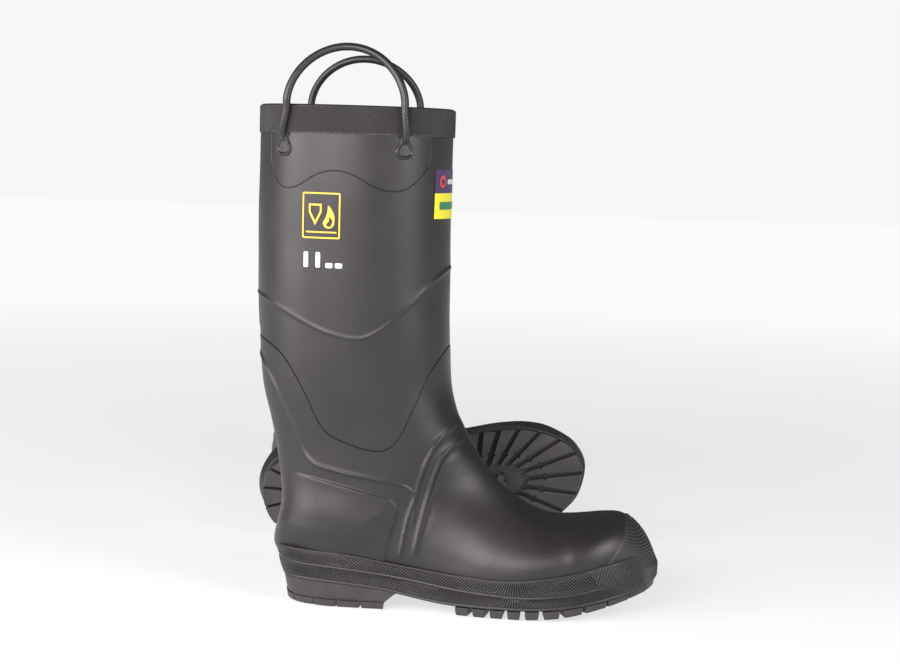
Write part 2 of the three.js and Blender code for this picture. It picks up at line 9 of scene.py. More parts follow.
import bmesh
import bpy
import numpy as np
from mathutils import Matrix, Vector
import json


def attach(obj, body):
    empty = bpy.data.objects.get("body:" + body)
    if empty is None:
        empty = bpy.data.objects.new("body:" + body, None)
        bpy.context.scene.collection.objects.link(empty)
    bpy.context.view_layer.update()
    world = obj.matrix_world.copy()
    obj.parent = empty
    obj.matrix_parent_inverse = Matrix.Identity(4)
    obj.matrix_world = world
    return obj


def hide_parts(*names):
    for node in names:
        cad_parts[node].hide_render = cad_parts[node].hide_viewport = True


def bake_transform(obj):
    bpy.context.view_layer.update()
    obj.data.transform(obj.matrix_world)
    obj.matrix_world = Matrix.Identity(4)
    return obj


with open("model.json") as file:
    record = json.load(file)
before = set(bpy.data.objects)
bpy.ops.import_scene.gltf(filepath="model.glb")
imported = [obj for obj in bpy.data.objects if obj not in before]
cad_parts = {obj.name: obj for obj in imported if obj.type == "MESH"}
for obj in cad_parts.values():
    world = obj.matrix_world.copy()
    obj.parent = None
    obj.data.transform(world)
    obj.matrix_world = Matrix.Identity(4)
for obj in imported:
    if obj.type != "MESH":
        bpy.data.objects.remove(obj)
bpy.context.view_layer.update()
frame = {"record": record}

SIDES = ("right", "left")
BODY = "boots"
LEG_TOP = 400.0
LEG_CENTRE = 53.0
HEEL_MOUNT_X = 0.052  # metres from the frame's origin to the tread's mount
PI = math.pi

# ---------------------------------------------------------------- the boot's outer surface
# Rings from the leg's top to the toe: front x, z, back x, z, outer and inner half-widths,
# sideways ridge, widest place, and how boxy the front and back halves are.
STATIONS = np.array([
    [130.5, 400, -24, 400, 66.5, 66.5, 0, 0.5, 2.15, 2.15],
    [130.5, 340, -24.2, 340, 65.5, 65.5, 0, 0.5, 2.15, 2.15],
    [131, 280, -24.3, 280, 63, 63, 0, 0.5, 2.1, 2.1],
    [132.5, 220, -22.3, 220, 59, 59, 0, 0.5, 2.1, 2.1],
    [135, 181, -18.5, 178, 54, 54, 0, 0.5, 2.0, 2.1],
    [140.5, 158, -11.5, 148, 50.5, 50.5, 0, 0.5, 2.0, 2.1],
    [146, 146, -6.5, 124, 48, 48, 0, 0.5, 2.0, 2.1],
    [151, 136, -2.5, 100, 46, 46, 0, 0.5, 2.0, 2.2],
    [156, 127.5, -1.5, 80, 44.5, 44.5, 0, 0.5, 2.0, 2.2],
    [161, 119.5, -5, 60, 43, 43, 0, 0.52, 2.0, 2.3],
    [166, 112, -6, 42, 42, 41.5, 0, 0.54, 2.0, 2.4],
    [171, 106, 8, 30.5, 41.5, 40.5, 0, 0.56, 2.0, 2.7],
    [177, 100, 45, 30, 41, 39, 0, 0.6, 2.0, 3.2],
    [184, 94, 85, 27, 42, 38, 0.5, 0.64, 2.0, 3.6],
    [193, 88, 122, 21, 45, 39, 1, 0.67, 2.0, 3.8],
    [205, 81, 157, 18, 50, 42.5, 2, 0.7, 2.0, 3.8],
    [219, 76, 189, 18, 53, 46, 3, 0.7, 2.0, 3.8],
    [234, 74.5, 217, 19, 52.5, 48.5, 4, 0.69, 2.1, 3.6],
    [249, 75.5, 240, 22, 49.5, 48, 5, 0.66, 2.2, 3.4],
    [263, 77, 259, 25.5, 43, 45, 5.5, 0.63, 2.3, 3.2],
    [276, 77, 274, 28.5, 34.5, 39, 6, 0.6, 2.3, 3.0],
    [287, 71, 287, 32, 25, 31.5, 6.5, 0.58, 2.2, 2.8],
    [296.5, 60, 297.5, 35, 13.5, 22.5, 6.5, 0.55, 2.2, 2.4],
    [303, 47, 304, 39, 0, 13, 7, 0.5, 2.0, 2.0],
])
FX, FZ, BX, BZ, OUTER, INNER, RIDGE, WIDE, SQ_FRONT, SQ_BACK = range(10)

# Side-view lines (x, z).
U_SEAM = [(-40, 220), (-14, 213), (4, 202), (21, 176), (36, 147), (54, 135.5), (82, 129), (97, 138),
          (109, 164), (122, 194), (146, 232)]
SCALLOP = [(-9, 400), (-9, 357), (-1, 339), (8, 335.5), (17, 338.5), (31, 347), (45, 350), (59, 347),
           (76, 338), (89, 335), (101, 338), (112, 349.5), (116, 362), (116, 400)]
V_RIB = [(-60, 262), (-10, 245.6), (16, 234), (36, 225), (53, 220.3), (62, 219.4), (71, 220.6), (84, 228),
         (103, 245), (125, 268), (170, 310)]
COUNTER_RIB = [(-30, 215), (-8, 185), (2, 166.5), (11, 149), (21, 126.5), (28, 118.4), (37, 114), (68, 108),
               (96, 103), (106.6, 98.6), (110.8, 92), (106.4, 75), (103, 57), (100, 36)]
COUNTER_PANEL = [(-40, 108), (17, 106.5), (50, 101), (82, 93.4), (93, 90), (98.4, 83), (98, 75),
                 (92, 53), (89, 30)]
CREASES = [[(152, 158), (140, 148.4), (128, 136), (120.7, 122), (116.3, 109.6), (112.7, 94), (110, 60)],
           [(150, 140), (133.5, 126), (126.8, 110.4), (121.8, 92.4), (117.5, 72.8), (111, 38)]]
TOE_SEAM = [(244, 18), (254, 32), (262, 41), (270.5, 53), (277, 65), (279, 75), (273, 87)]
CAP_EDGE = [(226, 86), (231, 66), (240, 42), (246, 20)]

# The sole's core outline from above: x, outer and inner half-widths.
SOLE_WIDTHS = np.array([
    [1, 0, 0], [3, 13, 13], [9, 24.5, 24], [20, 33, 32], [38, 37.5, 36.5], [62, 39, 37], [90, 39.5, 34.5],
    [118, 42, 35], [148, 47, 38.5], [178, 51, 44], [205, 52.5, 47], [230, 51.5, 49], [252, 46.5, 47.5],
    [272, 38, 41.5], [287, 27, 33], [297, 14.5, 23.5], [303, -7, 7],
])
# Heights along the sole (x, z).
UNDERSIDE = np.array([[-10, 31], [40, 30.5], [85, 27], [110, 22.5], [135, 18.6], [160, 18], [205, 18],
                      [232, 20.3], [260, 25.4], [285, 31.5], [306, 37.5]])
TOE_SPRING = np.array([[235, 0], [262, 1.4], [285, 2.4]])
FOXING_TOP = np.array([[-10, 47], [30, 45], [60, 43], [100, 37], [140, 32.5], [185, 30], [215, 33],
                       [240, 38.5], [262, 43.5], [285, 49], [310, 52]])
FOXING_LINE = np.array([[-10, 35], [50, 32], [100, 27], [150, 20], [200, 17], [240, 21], [275, 30],
                        [310, 37]])
PAD, BASE, LUG, HEEL_LUG = 5.5, 5.2, 6.6, 5.5
SHEET_DROP = 0.6
LAST_RING = len(STATIONS) - 1
RING_DROP = 60.0


def catmull(values, t):
    """Uniform Catmull-Rom values at the indices t."""
    values = np.asarray(values, float)
    t = np.asarray(t, float)
    last = len(values) - 1
    i = np.clip(np.floor(t).astype(int), 0, last - 1)
    s = t - i
    a, b, c, d = (values[np.clip(i + k, 0, last)] for k in (-1, 0, 1, 2))
    return b + 0.5 * s * (c - a + s * (2 * a - 5 * b + 4 * c - d + s * (3 * (b - c) + d - a)))


def smooth_line(points, steps):
    """A smooth curve through a few corners, as an array of points."""
    p = np.array(points, float)
    t = np.linspace(0, len(p) - 1, steps)
    return np.stack([catmull(p[:, 0], t), catmull(p[:, 1], t)], -1)


def smooth_height(table, x):
    """Value of a table of [x, value] at x, with its corners rounded."""
    return sum(np.interp(np.asarray(x) + d, table[:, 0], table[:, 1]) for d in (-12, -6, 0, 6, 12)) / 5


def run_along(line):
    """The length along a line of points up to each of them."""
    return np.concatenate([[0], np.cumsum(np.linalg.norm(np.diff(line, axis=0), axis=1))])


def points_at(line, run, s):
    """Points of a line at lengths along it, given the run up to each of its points."""
    return np.stack([np.interp(s, run, line[:, k]) for k in range(line.shape[1])], -1)


def surface(t, turn, depth=0.0):
    """Points of the surface: turn is 0 at the front, pi at the back, positive on the inner side."""
    row = [catmull(column, t) for column in STATIONS.T]
    c, s = np.cos(turn), np.sin(turn)
    back = c < 0
    ends = {}
    for name, (kx, kz) in {"front": (FX, FZ), "back": (BX, BZ)}.items():
        near = [np.clip(t + d, 0, LAST_RING) for d in (-0.1, 0.1)]
        dx, dz = (catmull(STATIONS[:, k], near[1]) - catmull(STATIONS[:, k], near[0]) for k in (kx, kz))
        chord = np.abs((row[BX] - row[FX]) * dz - (row[BZ] - row[FZ]) * dx)
        ends[name] = np.maximum(chord / np.maximum(np.hypot(dx, dz), 1e-6), 1.0)
    wide = row[WIDE]
    power = 2 / np.where(back, row[SQ_BACK], row[SQ_FRONT])
    reach = np.where(back, 1 - wide - depth / ends["back"], wide - depth / ends["front"])
    way = wide - np.sign(c) * reach * np.abs(c) ** power
    side = np.where(s >= 0, row[INNER] - row[RIDGE] - depth, -(row[OUTER] + row[RIDGE] - depth))
    y = row[RIDGE] + side * np.abs(s) ** power
    x, z = row[FX] + (row[BX] - row[FX]) * way, row[FZ] + (row[BZ] - row[FZ]) * way
    return np.stack(np.broadcast_arrays(x, y, z), -1)


def half_ring(t, side, depth=0.0, dense=160):
    """One side of a ring from front to back, as dense points and the share of its length at each."""
    q = np.linspace(0, 1, dense)
    eased = 3 * q * q - 2 * q ** 3
    turn = np.concatenate([eased * PI / 2, PI / 2 + eased[1:] * PI / 2])
    p = surface(np.full(turn.shape, t), side * turn, depth)
    run = run_along(p)
    return p, run / run[-1], run[-1]


def on_ring(t, side, share, depth=0.0):
    """Points at shares of one side's length, 0 at the front and 1 at the back."""
    p, run, _ = half_ring(t, side, depth)
    return points_at(p, run, share)


def whole_ring(t, share, depth=0.0):
    """A closed ring at the same shares of both sides, in order front, inner side, back, outer side."""
    inner, outer = (on_ring(t, side, share, depth) for side in (1, -1))
    return np.concatenate([inner[:-1], outer[::-1][:-1]])


def leg_t(z):
    """The ring's index at a height of the leg, where rings lie flat."""
    return (LEG_TOP - z) / RING_DROP


def spaced_stations(first, last, spacing):
    """Ring indices whose rings are about spacing apart."""
    t = np.linspace(first, last, 600)
    probe = np.stack([surface(t, np.full(t.shape, a)) for a in (0.0, PI / 2, PI)])
    run = np.linalg.norm(np.diff(probe, axis=1), axis=2)
    run = np.concatenate([[0], np.cumsum(0.5 * run.mean(0) + 0.5 * run.max(0))])
    return np.interp(np.linspace(0, run[-1], int(run[-1] / spacing) + 1), run, t)


def skin_grid(ts, half):
    """Rings of points of equal spacing round each ring."""
    share = np.linspace(0, 1, half + 1)
    return np.array([whole_ring(t, share) for t in ts])


# ---------------------------------------------------------------- meshes
def grid_faces(rows, columns, closed):
    """Quads of a grid of points, its rows closed into rings or not."""
    i, j = np.meshgrid(np.arange(rows - 1), np.arange(columns if closed else columns - 1), indexing="ij")
    k = (j + 1) % columns
    quads = np.stack([i * columns + j, i * columns + k, (i + 1) * columns + k, (i + 1) * columns + j], -1)
    return quads.reshape(-1, 4)


def as_grid(rows, closed=False):
    """Rows of points as one mesh: its points and faces."""
    rows = np.array(rows)
    return rows.reshape(-1, 3), grid_faces(*rows.shape[:2], closed)


def placing(side):
    """The boot frame's axes and origin in the row frame, from the record's mount and hinge."""
    record = frame["record"]
    tread = next(m for m in record["mounts"] if m["name"] == f"{side}_tread")
    flex = next(j for j in record["behaviour"]["joints"] if j["name"] == f"{side}_handle_outer_flex")
    hand = 1 if side == "right" else -1
    z = -np.array(tread["axis"], float)
    x = hand * np.array(flex["axis"], float)
    y = hand * np.cross(z, x)
    origin = np.array(tread["pos_m"]) - HEEL_MOUNT_X * x
    return np.stack([x, y, z], -1), origin


PLACE = {side: placing(side) for side in SIDES}


def in_row(points, side):
    """Boot-frame millimetres to row-frame metres."""
    axes, origin = PLACE[side]
    return (np.asarray(points, float) * 0.001) @ axes.T + origin


def make(name, points, faces, material, side, sharp=32.0, smooth=True):
    """One boot's mesh object, from points and faces in the boot's frame."""
    where = in_row(points, side)
    loops = [list(map(int, f)) for f in faces]
    if side == "left":
        loops = [f[::-1] for f in loops]
    mesh = bpy.data.meshes.new(name)
    mesh.from_pydata(where.tolist(), [], loops)
    mesh.validate(clean_customdata=False)
    mesh.materials.append(material)
    if smooth:
        mesh.shade_smooth()
        mesh.set_sharp_from_angle(angle=math.radians(sharp))
    obj = bpy.data.objects.new(name, mesh)
    bpy.context.scene.collection.objects.link(obj)
    return obj


def both(name, points, faces, material, node, slot, sharp=32.0, smooth=True):
    """The same piece on each boot. It rides on the boots and stands for its CAD node, when it has one."""
    for side in SIDES:
        obj = make(f"{side}_{name}_looks", points, faces, material, side, sharp, smooth)
        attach(obj, BODY)
        if node:
            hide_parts(f"{side}_{node}")


def mesh_arrays(bm):
    """A work mesh's points and faces. The work mesh is freed."""
    bm.verts.index_update()
    points = np.array([v.co for v in bm.verts])
    faces = [[v.index for v in f.verts] for f in bm.faces]
    bm.free()
    return points, faces


def as_bmesh(points, faces):
    """A work mesh from points and faces."""
    mesh = bpy.data.meshes.new("work")
    mesh.from_pydata(np.asarray(points).tolist(), [], [list(map(int, f)) for f in faces])
    bm = bmesh.new()
    bm.from_mesh(mesh)
    bpy.data.meshes.remove(mesh)
    return bm


def points_and_normals(bm):
    bm.normal_update()
    return np.array([v.co for v in bm.verts]), np.array([v.normal for v in bm.verts])


def raise_points(bm, heights, normals):
    """Move each point along its normal."""
    for v, h, n in zip(bm.verts, heights, normals):
        v.co = v.co + Vector(n) * float(h)


def face_means(faces, *values):
    """For each array of values at the points, its mean over each face."""
    sizes = np.array([len(f) for f in faces])
    flat = np.concatenate([np.array(f) for f in faces])
    starts = np.concatenate([[0], np.cumsum(sizes)[:-1]])
    return [np.add.reduceat(v[flat], starts, axis=0) / sizes[:, None] for v in values]


def part_of(points, faces, chosen):
    """The points and faces of some of a mesh's faces."""
    picked = [faces[k] for k in np.nonzero(chosen)[0]]
    used = np.unique(np.concatenate([np.array(f) for f in picked]))
    renumber = np.full(len(points), -1)
    renumber[used] = np.arange(len(used))
    return points[used], [renumber[np.array(f)] for f in picked]


def joined(*parts):
    """Several sets of points and faces as one."""
    points, faces, offset = [], [], 0
    for p, f in parts:
        points.append(np.asarray(p))
        faces += [tuple(int(k) + offset for k in q) for q in f]
        offset += len(p)
    return np.concatenate(points), faces


SNAP, CUT_REACH, OUT_OF_REACH = 0.02, 15, 20.0


def cut(bm, field, levels):
    """Split faces along the lines where a field of the points takes each level."""
    for level in levels:
        f = field(*points_and_normals(bm)) - level
        f = np.where(np.abs(f) < SNAP, np.where(f < 0, -SNAP, SNAP), f)
        bm.verts.index_update()
        bm.edges.ensure_lookup_table()
        pairs = np.array([(e.verts[0].index, e.verts[1].index) for e in bm.edges])
        a, b = f[pairs[:, 0]], f[pairs[:, 1]]
        crossing = np.nonzero((a * b < 0) & (np.maximum(np.abs(a), np.abs(b)) < CUT_REACH))[0]
        edges = [(bm.edges[int(k)], bm.edges[int(k)].verts[0], float(a[k] / (a[k] - b[k]))) for k in crossing]
        new = [bmesh.utils.edge_split(e, v, fac)[1] for e, v, fac in edges]
        bmesh.ops.connect_verts(bm, verts=new)
        bm.verts.ensure_lookup_table()


# ---------------------------------------------------------------- fields and reliefs
def line_distance(line, x, z):
    """Signed distance to a side-view line, positive on the left of its direction, and its gradient."""
    a, b = line[:-1], line[1:]
    d = b - a
    p = np.stack([x, z], -1)
    best = np.full(len(p), 1e9)
    sign = np.ones(len(p))
    grad = np.zeros((len(p), 2))
    for k in range(len(a)):
        w = p - a[k]
        s = np.clip((w @ d[k]) / (d[k] @ d[k]), 0, 1)
        off = w - s[:, None] * d[k]
        dist = np.linalg.norm(off, axis=1)
        near = dist < best - 1e-9
        best = np.where(near, dist, best)
        cross = d[k][0] * w[:, 1] - d[k][1] * w[:, 0]
        sign = np.where(near, np.where(cross >= 0, 1, -1), sign)
        unit = off / np.maximum(dist, 1e-6)[:, None]
        grad = np.where(near[:, None], unit, grad)
    return best * sign, grad


def side_field(points, steps=90):
    """A field of surface points: their distance along the surface to a side-view line."""
    line = smooth_line(points, steps)

    def field(co, no):
        f, g = line_distance(line, co[:, 0], co[:, 2])
        lean = g[:, 0] * no[:, 0] + g[:, 1] * no[:, 2]
        return f / np.sqrt(np.clip(1 - lean ** 2, 0.12, 1))

    return field


def profile(f, knots):
    """A height read from knots (distance, height)."""
    k = np.array(knots)
    return np.interp(f, k[:, 0], k[:, 1])


def ease(f, low, high):
    """A smooth step from 0 at low to 1 at high."""
    q = np.clip((f - low) / (high - low), 0, 1)
    return q * q * (3 - 2 * q)


def bell(f, width):
    return np.exp(-((f / width) ** 2))


# ---------------------------------------------------------------- materials
def material(name, build):
    mat = bpy.data.materials.new(name)
    mat.use_nodes = True
    tree = mat.node_tree
    tree.nodes.clear()
    out = tree.nodes.new("ShaderNodeOutputMaterial")
    shader = tree.nodes.new("ShaderNodeBsdfPrincipled")
    tree.links.new(shader.outputs[0], out.inputs[0])
    place = tree.nodes.new("ShaderNodeTexCoord").outputs["Object"]
    build(tree, shader, place)
    return mat


def add(tree, kind, links, **values):
    """A new node: sockets linked into its inputs, and plain values for the others."""
    node = tree.nodes.new(kind)
    for name, value in values.items():
        node.inputs[name.replace("_", " ")].default_value = value
    for name, socket in links.items():
        tree.links.new(socket, node.inputs[name])
    return node


def noise(tree, place, scale, detail=3.0, rough=0.55):
    values = {"Scale": scale, "Detail": detail, "Roughness": rough}
    return add(tree, "ShaderNodeTexNoise", {"Vector": place}, **values).outputs["Fac"]


def ramp(tree, value, stops):
    node = add(tree, "ShaderNodeValToRGB", {0: value})
    while len(node.color_ramp.elements) < len(stops):
        node.color_ramp.elements.new(0.5)
    for element, (pos, colour) in zip(node.color_ramp.elements, stops):
        element.position = pos
        element.color = (*colour, 1)
    return node.outputs[0]


def spread(tree, value, low, high, start=0.3, end=0.7):
    """A value's range from start to end, mapped to low and high."""
    values = {"From_Min": start, "From_Max": end, "To_Min": low, "To_Max": high}
    return add(tree, "ShaderNodeMapRange", {"Value": value}, **values).outputs[0]


def tinted(tree, shader, value, stops, sheen, low, high):
    """The shader's colour from a ramp of one value, and its roughness from another's range."""
    tree.links.new(ramp(tree, value, stops), shader.inputs["Base Color"])
    tree.links.new(spread(tree, sheen, low, high), shader.inputs["Roughness"])


def bump(tree, shader, heights):
    """Chained bumps: (height socket, strength, distance in metres)."""
    before = {}
    for value, strength, distance in heights:
        node = add(tree, "ShaderNodeBump", {"Height": value, **before}, Strength=strength, Distance=distance)
        before = {"Normal": node.outputs[0]}
    tree.links.new(node.outputs[0], shader.inputs["Normal"])


SPECK_SHARE = 0.25


def rubber(dark, light, rough, grain=1500.0, grain_depth=0.00006, smudge=26.0):
    """Moulded rubber: fine grain, cloudy bloom and smudges in its sheen."""

    def build(tree, shader, place):
        cloud = noise(tree, place, smudge, 4.0)
        fine = noise(tree, place, grain, 2.0)
        speck = noise(tree, place, grain * 0.3, 3.0)
        part = add(tree, "ShaderNodeMath", {0: speck})
        part.operation = "MULTIPLY"
        part.inputs[1].default_value = SPECK_SHARE
        mix = add(tree, "ShaderNodeMath", {0: cloud, 2: part.outputs[0]})
        mix.operation = "MULTIPLY_ADD"
        mix.inputs[1].default_value = 1 - SPECK_SHARE
        tinted(tree, shader, mix.outputs[0], [(0.3, dark), (0.7, light)], cloud, rough - 0.05, rough + 0.06)
        shader.inputs["Specular IOR Level"].default_value = 0.5
        bump(tree, shader, [(cloud, 0.25, 0.0008), (speck, 0.7, grain_depth * 2), (fine, 0.8, grain_depth)])

    return build


def printed(colour, wear, rough):
    """Ink or film on rubber, its colour a little uneven and worn in specks."""

    def build(tree, shader, place):
        speck = noise(tree, place, 900.0, 4.0, 0.7)
        fresh = tuple(min(1, c * 1.08) for c in colour)
        stops = [(0.27, wear), (0.36, colour), (0.8, fresh)]
        tinted(tree, shader, speck, stops, speck, rough - 0.08, rough + 0.1)
        bump(tree, shader, [(speck, 0.3, 0.00005)])

    return build


def woven(dark, light):
    """Napped felt lining: crossed fibres and pilling."""

    def build(tree, shader, place):
        nap = noise(tree, place, 420.0, 5.0, 0.7)
        pill = noise(tree, place, 90.0, 3.0)
        tinted(tree, shader, nap, [(0.3, dark), (0.7, light)], pill, 0.85, 1.0)
        shader.inputs["Sheen Weight"].default_value = 0.35
        bump(tree, shader, [(pill, 0.5, 0.0006), (nap, 0.9, 0.0003)])

    return build


def metal(colour, rough):
    """Cold-rolled steel with a faint streaked grain."""

    def build(tree, shader, place):
        stretch = add(tree, "ShaderNodeMapping", {"Vector": place}, Scale=(30.0, 900.0, 900.0))
        streak = noise(tree, stretch.outputs[0], 1.0, 3.0)
        stops = [(0.3, tuple(c * 0.85 for c in colour)), (0.7, colour)]
        tinted(tree, shader, streak, stops, streak, rough - 0.08, rough + 0.1)
        shader.inputs["Metallic"].default_value = 1.0
        bump(tree, shader, [(streak, 0.2, 0.00005)])

    return build


SKIN_RUBBER = material("skin_rubber", rubber((0.0145, 0.0128, 0.0128), (0.0195, 0.0174, 0.0174), 0.42))
GROOVED_RUBBER = material(
    "knurled_rubber", rubber((0.024, 0.022, 0.022), (0.033, 0.0303, 0.0303), 0.42, grain=1900.0))
TREAD_RUBBER = material(
    "tread_rubber",
    rubber((0.025, 0.0226, 0.0226), (0.045, 0.0407, 0.0407), 0.52,
           grain=1100.0, grain_depth=0.00012, smudge=60.0))
HANDLE_RUBBER = material(
    "handle_rubber",
    rubber((0.014, 0.0128, 0.0128), (0.019, 0.0175, 0.0175), 0.4, grain_depth=0.00003, smudge=70.0))
LINING = material("lining_felt", woven((0.17, 0.15, 0.12), (0.34, 0.3, 0.24)))
FOAM = material("sponge", woven((0.05, 0.05, 0.05), (0.1, 0.1, 0.1)))
BOARD = material("fibre_board", woven((0.25, 0.18, 0.1), (0.42, 0.32, 0.2)))
STEEL = material("steel", metal((0.56, 0.57, 0.58), 0.35))
YELLOW_INK = material("yellow_ink", printed((0.72, 0.47, 0.05), (0.1, 0.08, 0.04), 0.5))
WHITE_INK = material("white_ink", printed((0.62, 0.62, 0.62), (0.1, 0.1, 0.1), 0.5))
LABEL_YELLOW = material("label_yellow", printed((0.78, 0.72, 0.03), (0.55, 0.5, 0.05), 0.42))
LABEL_PURPLE = material("label_purple", printed((0.055, 0.028, 0.095), (0.04, 0.03, 0.06), 0.42))
LABEL_RED = material("label_red", printed((0.55, 0.06, 0.05), (0.3, 0.05, 0.05), 0.42))
LABEL_GREEN = material("label_green", printed((0.02, 0.2, 0.08), (0.02, 0.12, 0.06), 0.42))

# The CAD's own meshes stay for these pieces.
KEPT = {
    "midsole": TREAD_RUBBER, "steel_toe_cap": STEEL, "heel_counter": FOAM, "ankle_guard": FOAM,
    "shin_guard": FOAM, "shank": STEEL, "steel_midsole": STEEL, "insole_board": BOARD, "footbed": FOAM,
}
for side in SIDES:
    for node, mat in KEPT.items():
        for slot in bpy.data.objects[f"{side}_{node}"].material_slots:
            slot.material = mat

# ---------------------------------------------------------------- the skin: leg, vamp, panels, back strip
SKIN_STEP = 2.0
RING_HALF = 104

u_seam = side_field(U_SEAM)
scallop = side_field(SCALLOP)
v_rib = side_field(V_RIB)
counter_rib = side_field(COUNTER_RIB)
counter_panel = side_field(COUNTER_PANEL)
cap_edge = side_field(CAP_EDGE)
toe_seam = side_field(TOE_SEAM)
creases = [side_field(c) for c in CREASES]
STRIP_HALF, STRIP_FOOT = 10.5, 222.0
PANEL_FLOOR = 330


def strip_field(co, _):
    """Distance outside the back strip's two edges, on the back of the leg."""
    return np.where(co[:, 0] < 0, np.abs(co[:, 1]) - STRIP_HALF, OUT_OF_REACH)


def relief(co, no):
    """Height of the skin's relief over the plain surface."""
    x, y, z = co[:, 0], co[:, 1], co[:, 2]
    seam = u_seam(co, no)
    leg = seam > 0
    h = profile(seam, [(-0.75, 0.3), (-0.2, -0.75), (0.2, -0.75), (0.6, 0)])
    step = profile(scallop(co, no), [(-0.6, 0), (-0.16, -0.55), (0.16, -0.55), (0.6, 0.28)])
    h += leg * ease(np.abs(y), 8, 14) * step * (z > PANEL_FLOOR)
    h += leg * 0.85 * bell(v_rib(co, no), 1.5)
    h += leg * profile(strip_field(co, no), [(-0.7, 0.5), (-0.1, -0.3), (0.35, 0)]) * ease(z, 221, 225)
    low = 1 - leg
    facing = ease(np.abs(no[:, 1]), 0.3, 0.85)
    panel = counter_panel(co, no)
    h += low * 1.4 * bell(counter_rib(co, no), 1.4) * ease(z, 40, 46) * ease(np.abs(y), 4, 18)
    h += low * 1.5 * (1 - ease(panel, -2.0, 0.4)) * (1 - ease(x, 99, 104)) * ease(x, 2, 40)
    h += low * 4.2 * ease(-panel, -1, 30) * (1 - ease(x, 99, 104)) * facing * ease(z, 38, 66)
    sideways = ease(np.abs(y - 3), 6, 40)
    h += low * 1.5 * bell(creases[0](co, no), 2.1) * ease(z, 60, 90) * sideways
    h += low * 1.5 * bell(creases[1](co, no), 2.0) * ease(z, 40, 52) * sideways
    h -= low * 0.35 * bell(creases[1](co, no) - 4.5, 2.8) * ease(z, 60, 80) * sideways
    h += low * 0.9 * ease(cap_edge(co, no), -7, 5) * (x > 180)
    wave = np.sin(z * 0.061 + x * 0.023 + 1.1) * np.sin(y * 0.045 + z * 0.027)
    return h + 0.28 * wave * ease(z, 396, 330) * ease(z, 45, 80)


skin_mesh = as_grid(skin_grid(spaced_stations(0, LAST_RING, SKIN_STEP), RING_HALF), True)
bm = as_bmesh(skin_mesh[0], skin_mesh[1][:, ::-1])
# Each field, the heights it counts between, and its levels.
CUTS = [
    (u_seam, -math.inf, math.inf, (-0.75, -0.2, 0.0, 0.2, 0.6)),
    (scallop, 325, math.inf, (-0.6, -0.16, 0.0, 0.16, 0.6)),
    (v_rib, 150, math.inf, (-2.2, -1.0, 0.0, 1.0, 2.2)),
    (strip_field, 200, math.inf, (-0.7, 0.0, 0.35)),
    (counter_rib, -math.inf, 225, (-2.0, -0.9, 0.0, 0.9, 2.0)),
    (counter_panel, -math.inf, 120, (-2.0, -1.2, -0.4, 0.4)),
    *((crease, -math.inf, 165, (-2.6, -1.2, 0.0, 1.2, 2.6)) for crease in creases),
]


def limited(field, low, high):
    """A field that counts only between two heights."""
    return lambda co, no: np.where((co[:, 2] > low) & (co[:, 2] < high), field(co, no), OUT_OF_REACH)


for field, low, high, levels in CUTS:
    cut(bm, limited(field, low, high), levels)
co, no = points_and_normals(bm)
raise_points(bm, relief(co, no), no)
skin_co, skin_faces = mesh_arrays(bm)

middle, normal_mid = face_means(skin_faces, co, no)
normal_mid /= np.maximum(np.linalg.norm(normal_mid, axis=1), 1e-6)[:, None]
below = u_seam(middle, normal_mid) < 0
in_panel = (scallop(middle, normal_mid) > 0) & (middle[:, 2] > PANEL_FLOOR) & (np.abs(middle[:, 1]) > 12)
in_strip = (strip_field(middle, normal_mid) < 0) & (middle[:, 2] > STRIP_FOOT)
SKIN_PARTS = ("vamp_shell", "leg_shell", "top_panel_outer", "top_panel_inner", "back_strip")
kind = np.select([below, in_panel & (middle[:, 1] < 0), in_panel, in_strip], [0, 2, 3, 4], 1)
for code, name in enumerate(SKIN_PARTS):
    both(name, *part_of(skin_co, skin_faces, kind == code), SKIN_RUBBER, name, "rubber", sharp=38)

# ---------------------------------------------------------------- rim and lining
# The rim's section over the wall: depth below the surface, height over the leg's top.
RIM = [(-1.2, -0.8), (0.0, 0.2), (0.9, 0.7), (2.2, 0.7), (3.2, 0.1), (3.7, -1.2), (3.9, -8.0)]
share = np.linspace(0, 1, RING_HALF + 1)


def level_ring(z, depth):
    ring = whole_ring(max(0.0, leg_t(z)), share, depth)
    ring[:, 2] = z
    return ring


rim = as_grid([level_ring(LEG_TOP + dz, depth) for depth, dz in RIM], True)
both("rim", *rim, SKIN_RUBBER, None, "rubber", sharp=60)


def lining_depth(t):
    """The felt lies close to the rubber at the rim and further in lower down."""
    return 3.6 + 5.6 * float(ease(t, 0.0, 2.2)) - 1.0 * (t == LINING_TS[0])


LINING_TS = np.concatenate([[0.03, 0.06, 0.12, 0.25, 0.5, 0.9], spaced_stations(1.4, 21.5, 5.0)])
lining = as_grid([whole_ring(t, share[::2], lining_depth(t)) for t in LINING_TS], True)
both("lining", *lining, LINING, "lining", "lining_felt", sharp=180)

# ---------------------------------------------------------------- knurled strips
EDGE_TIP = 0.4


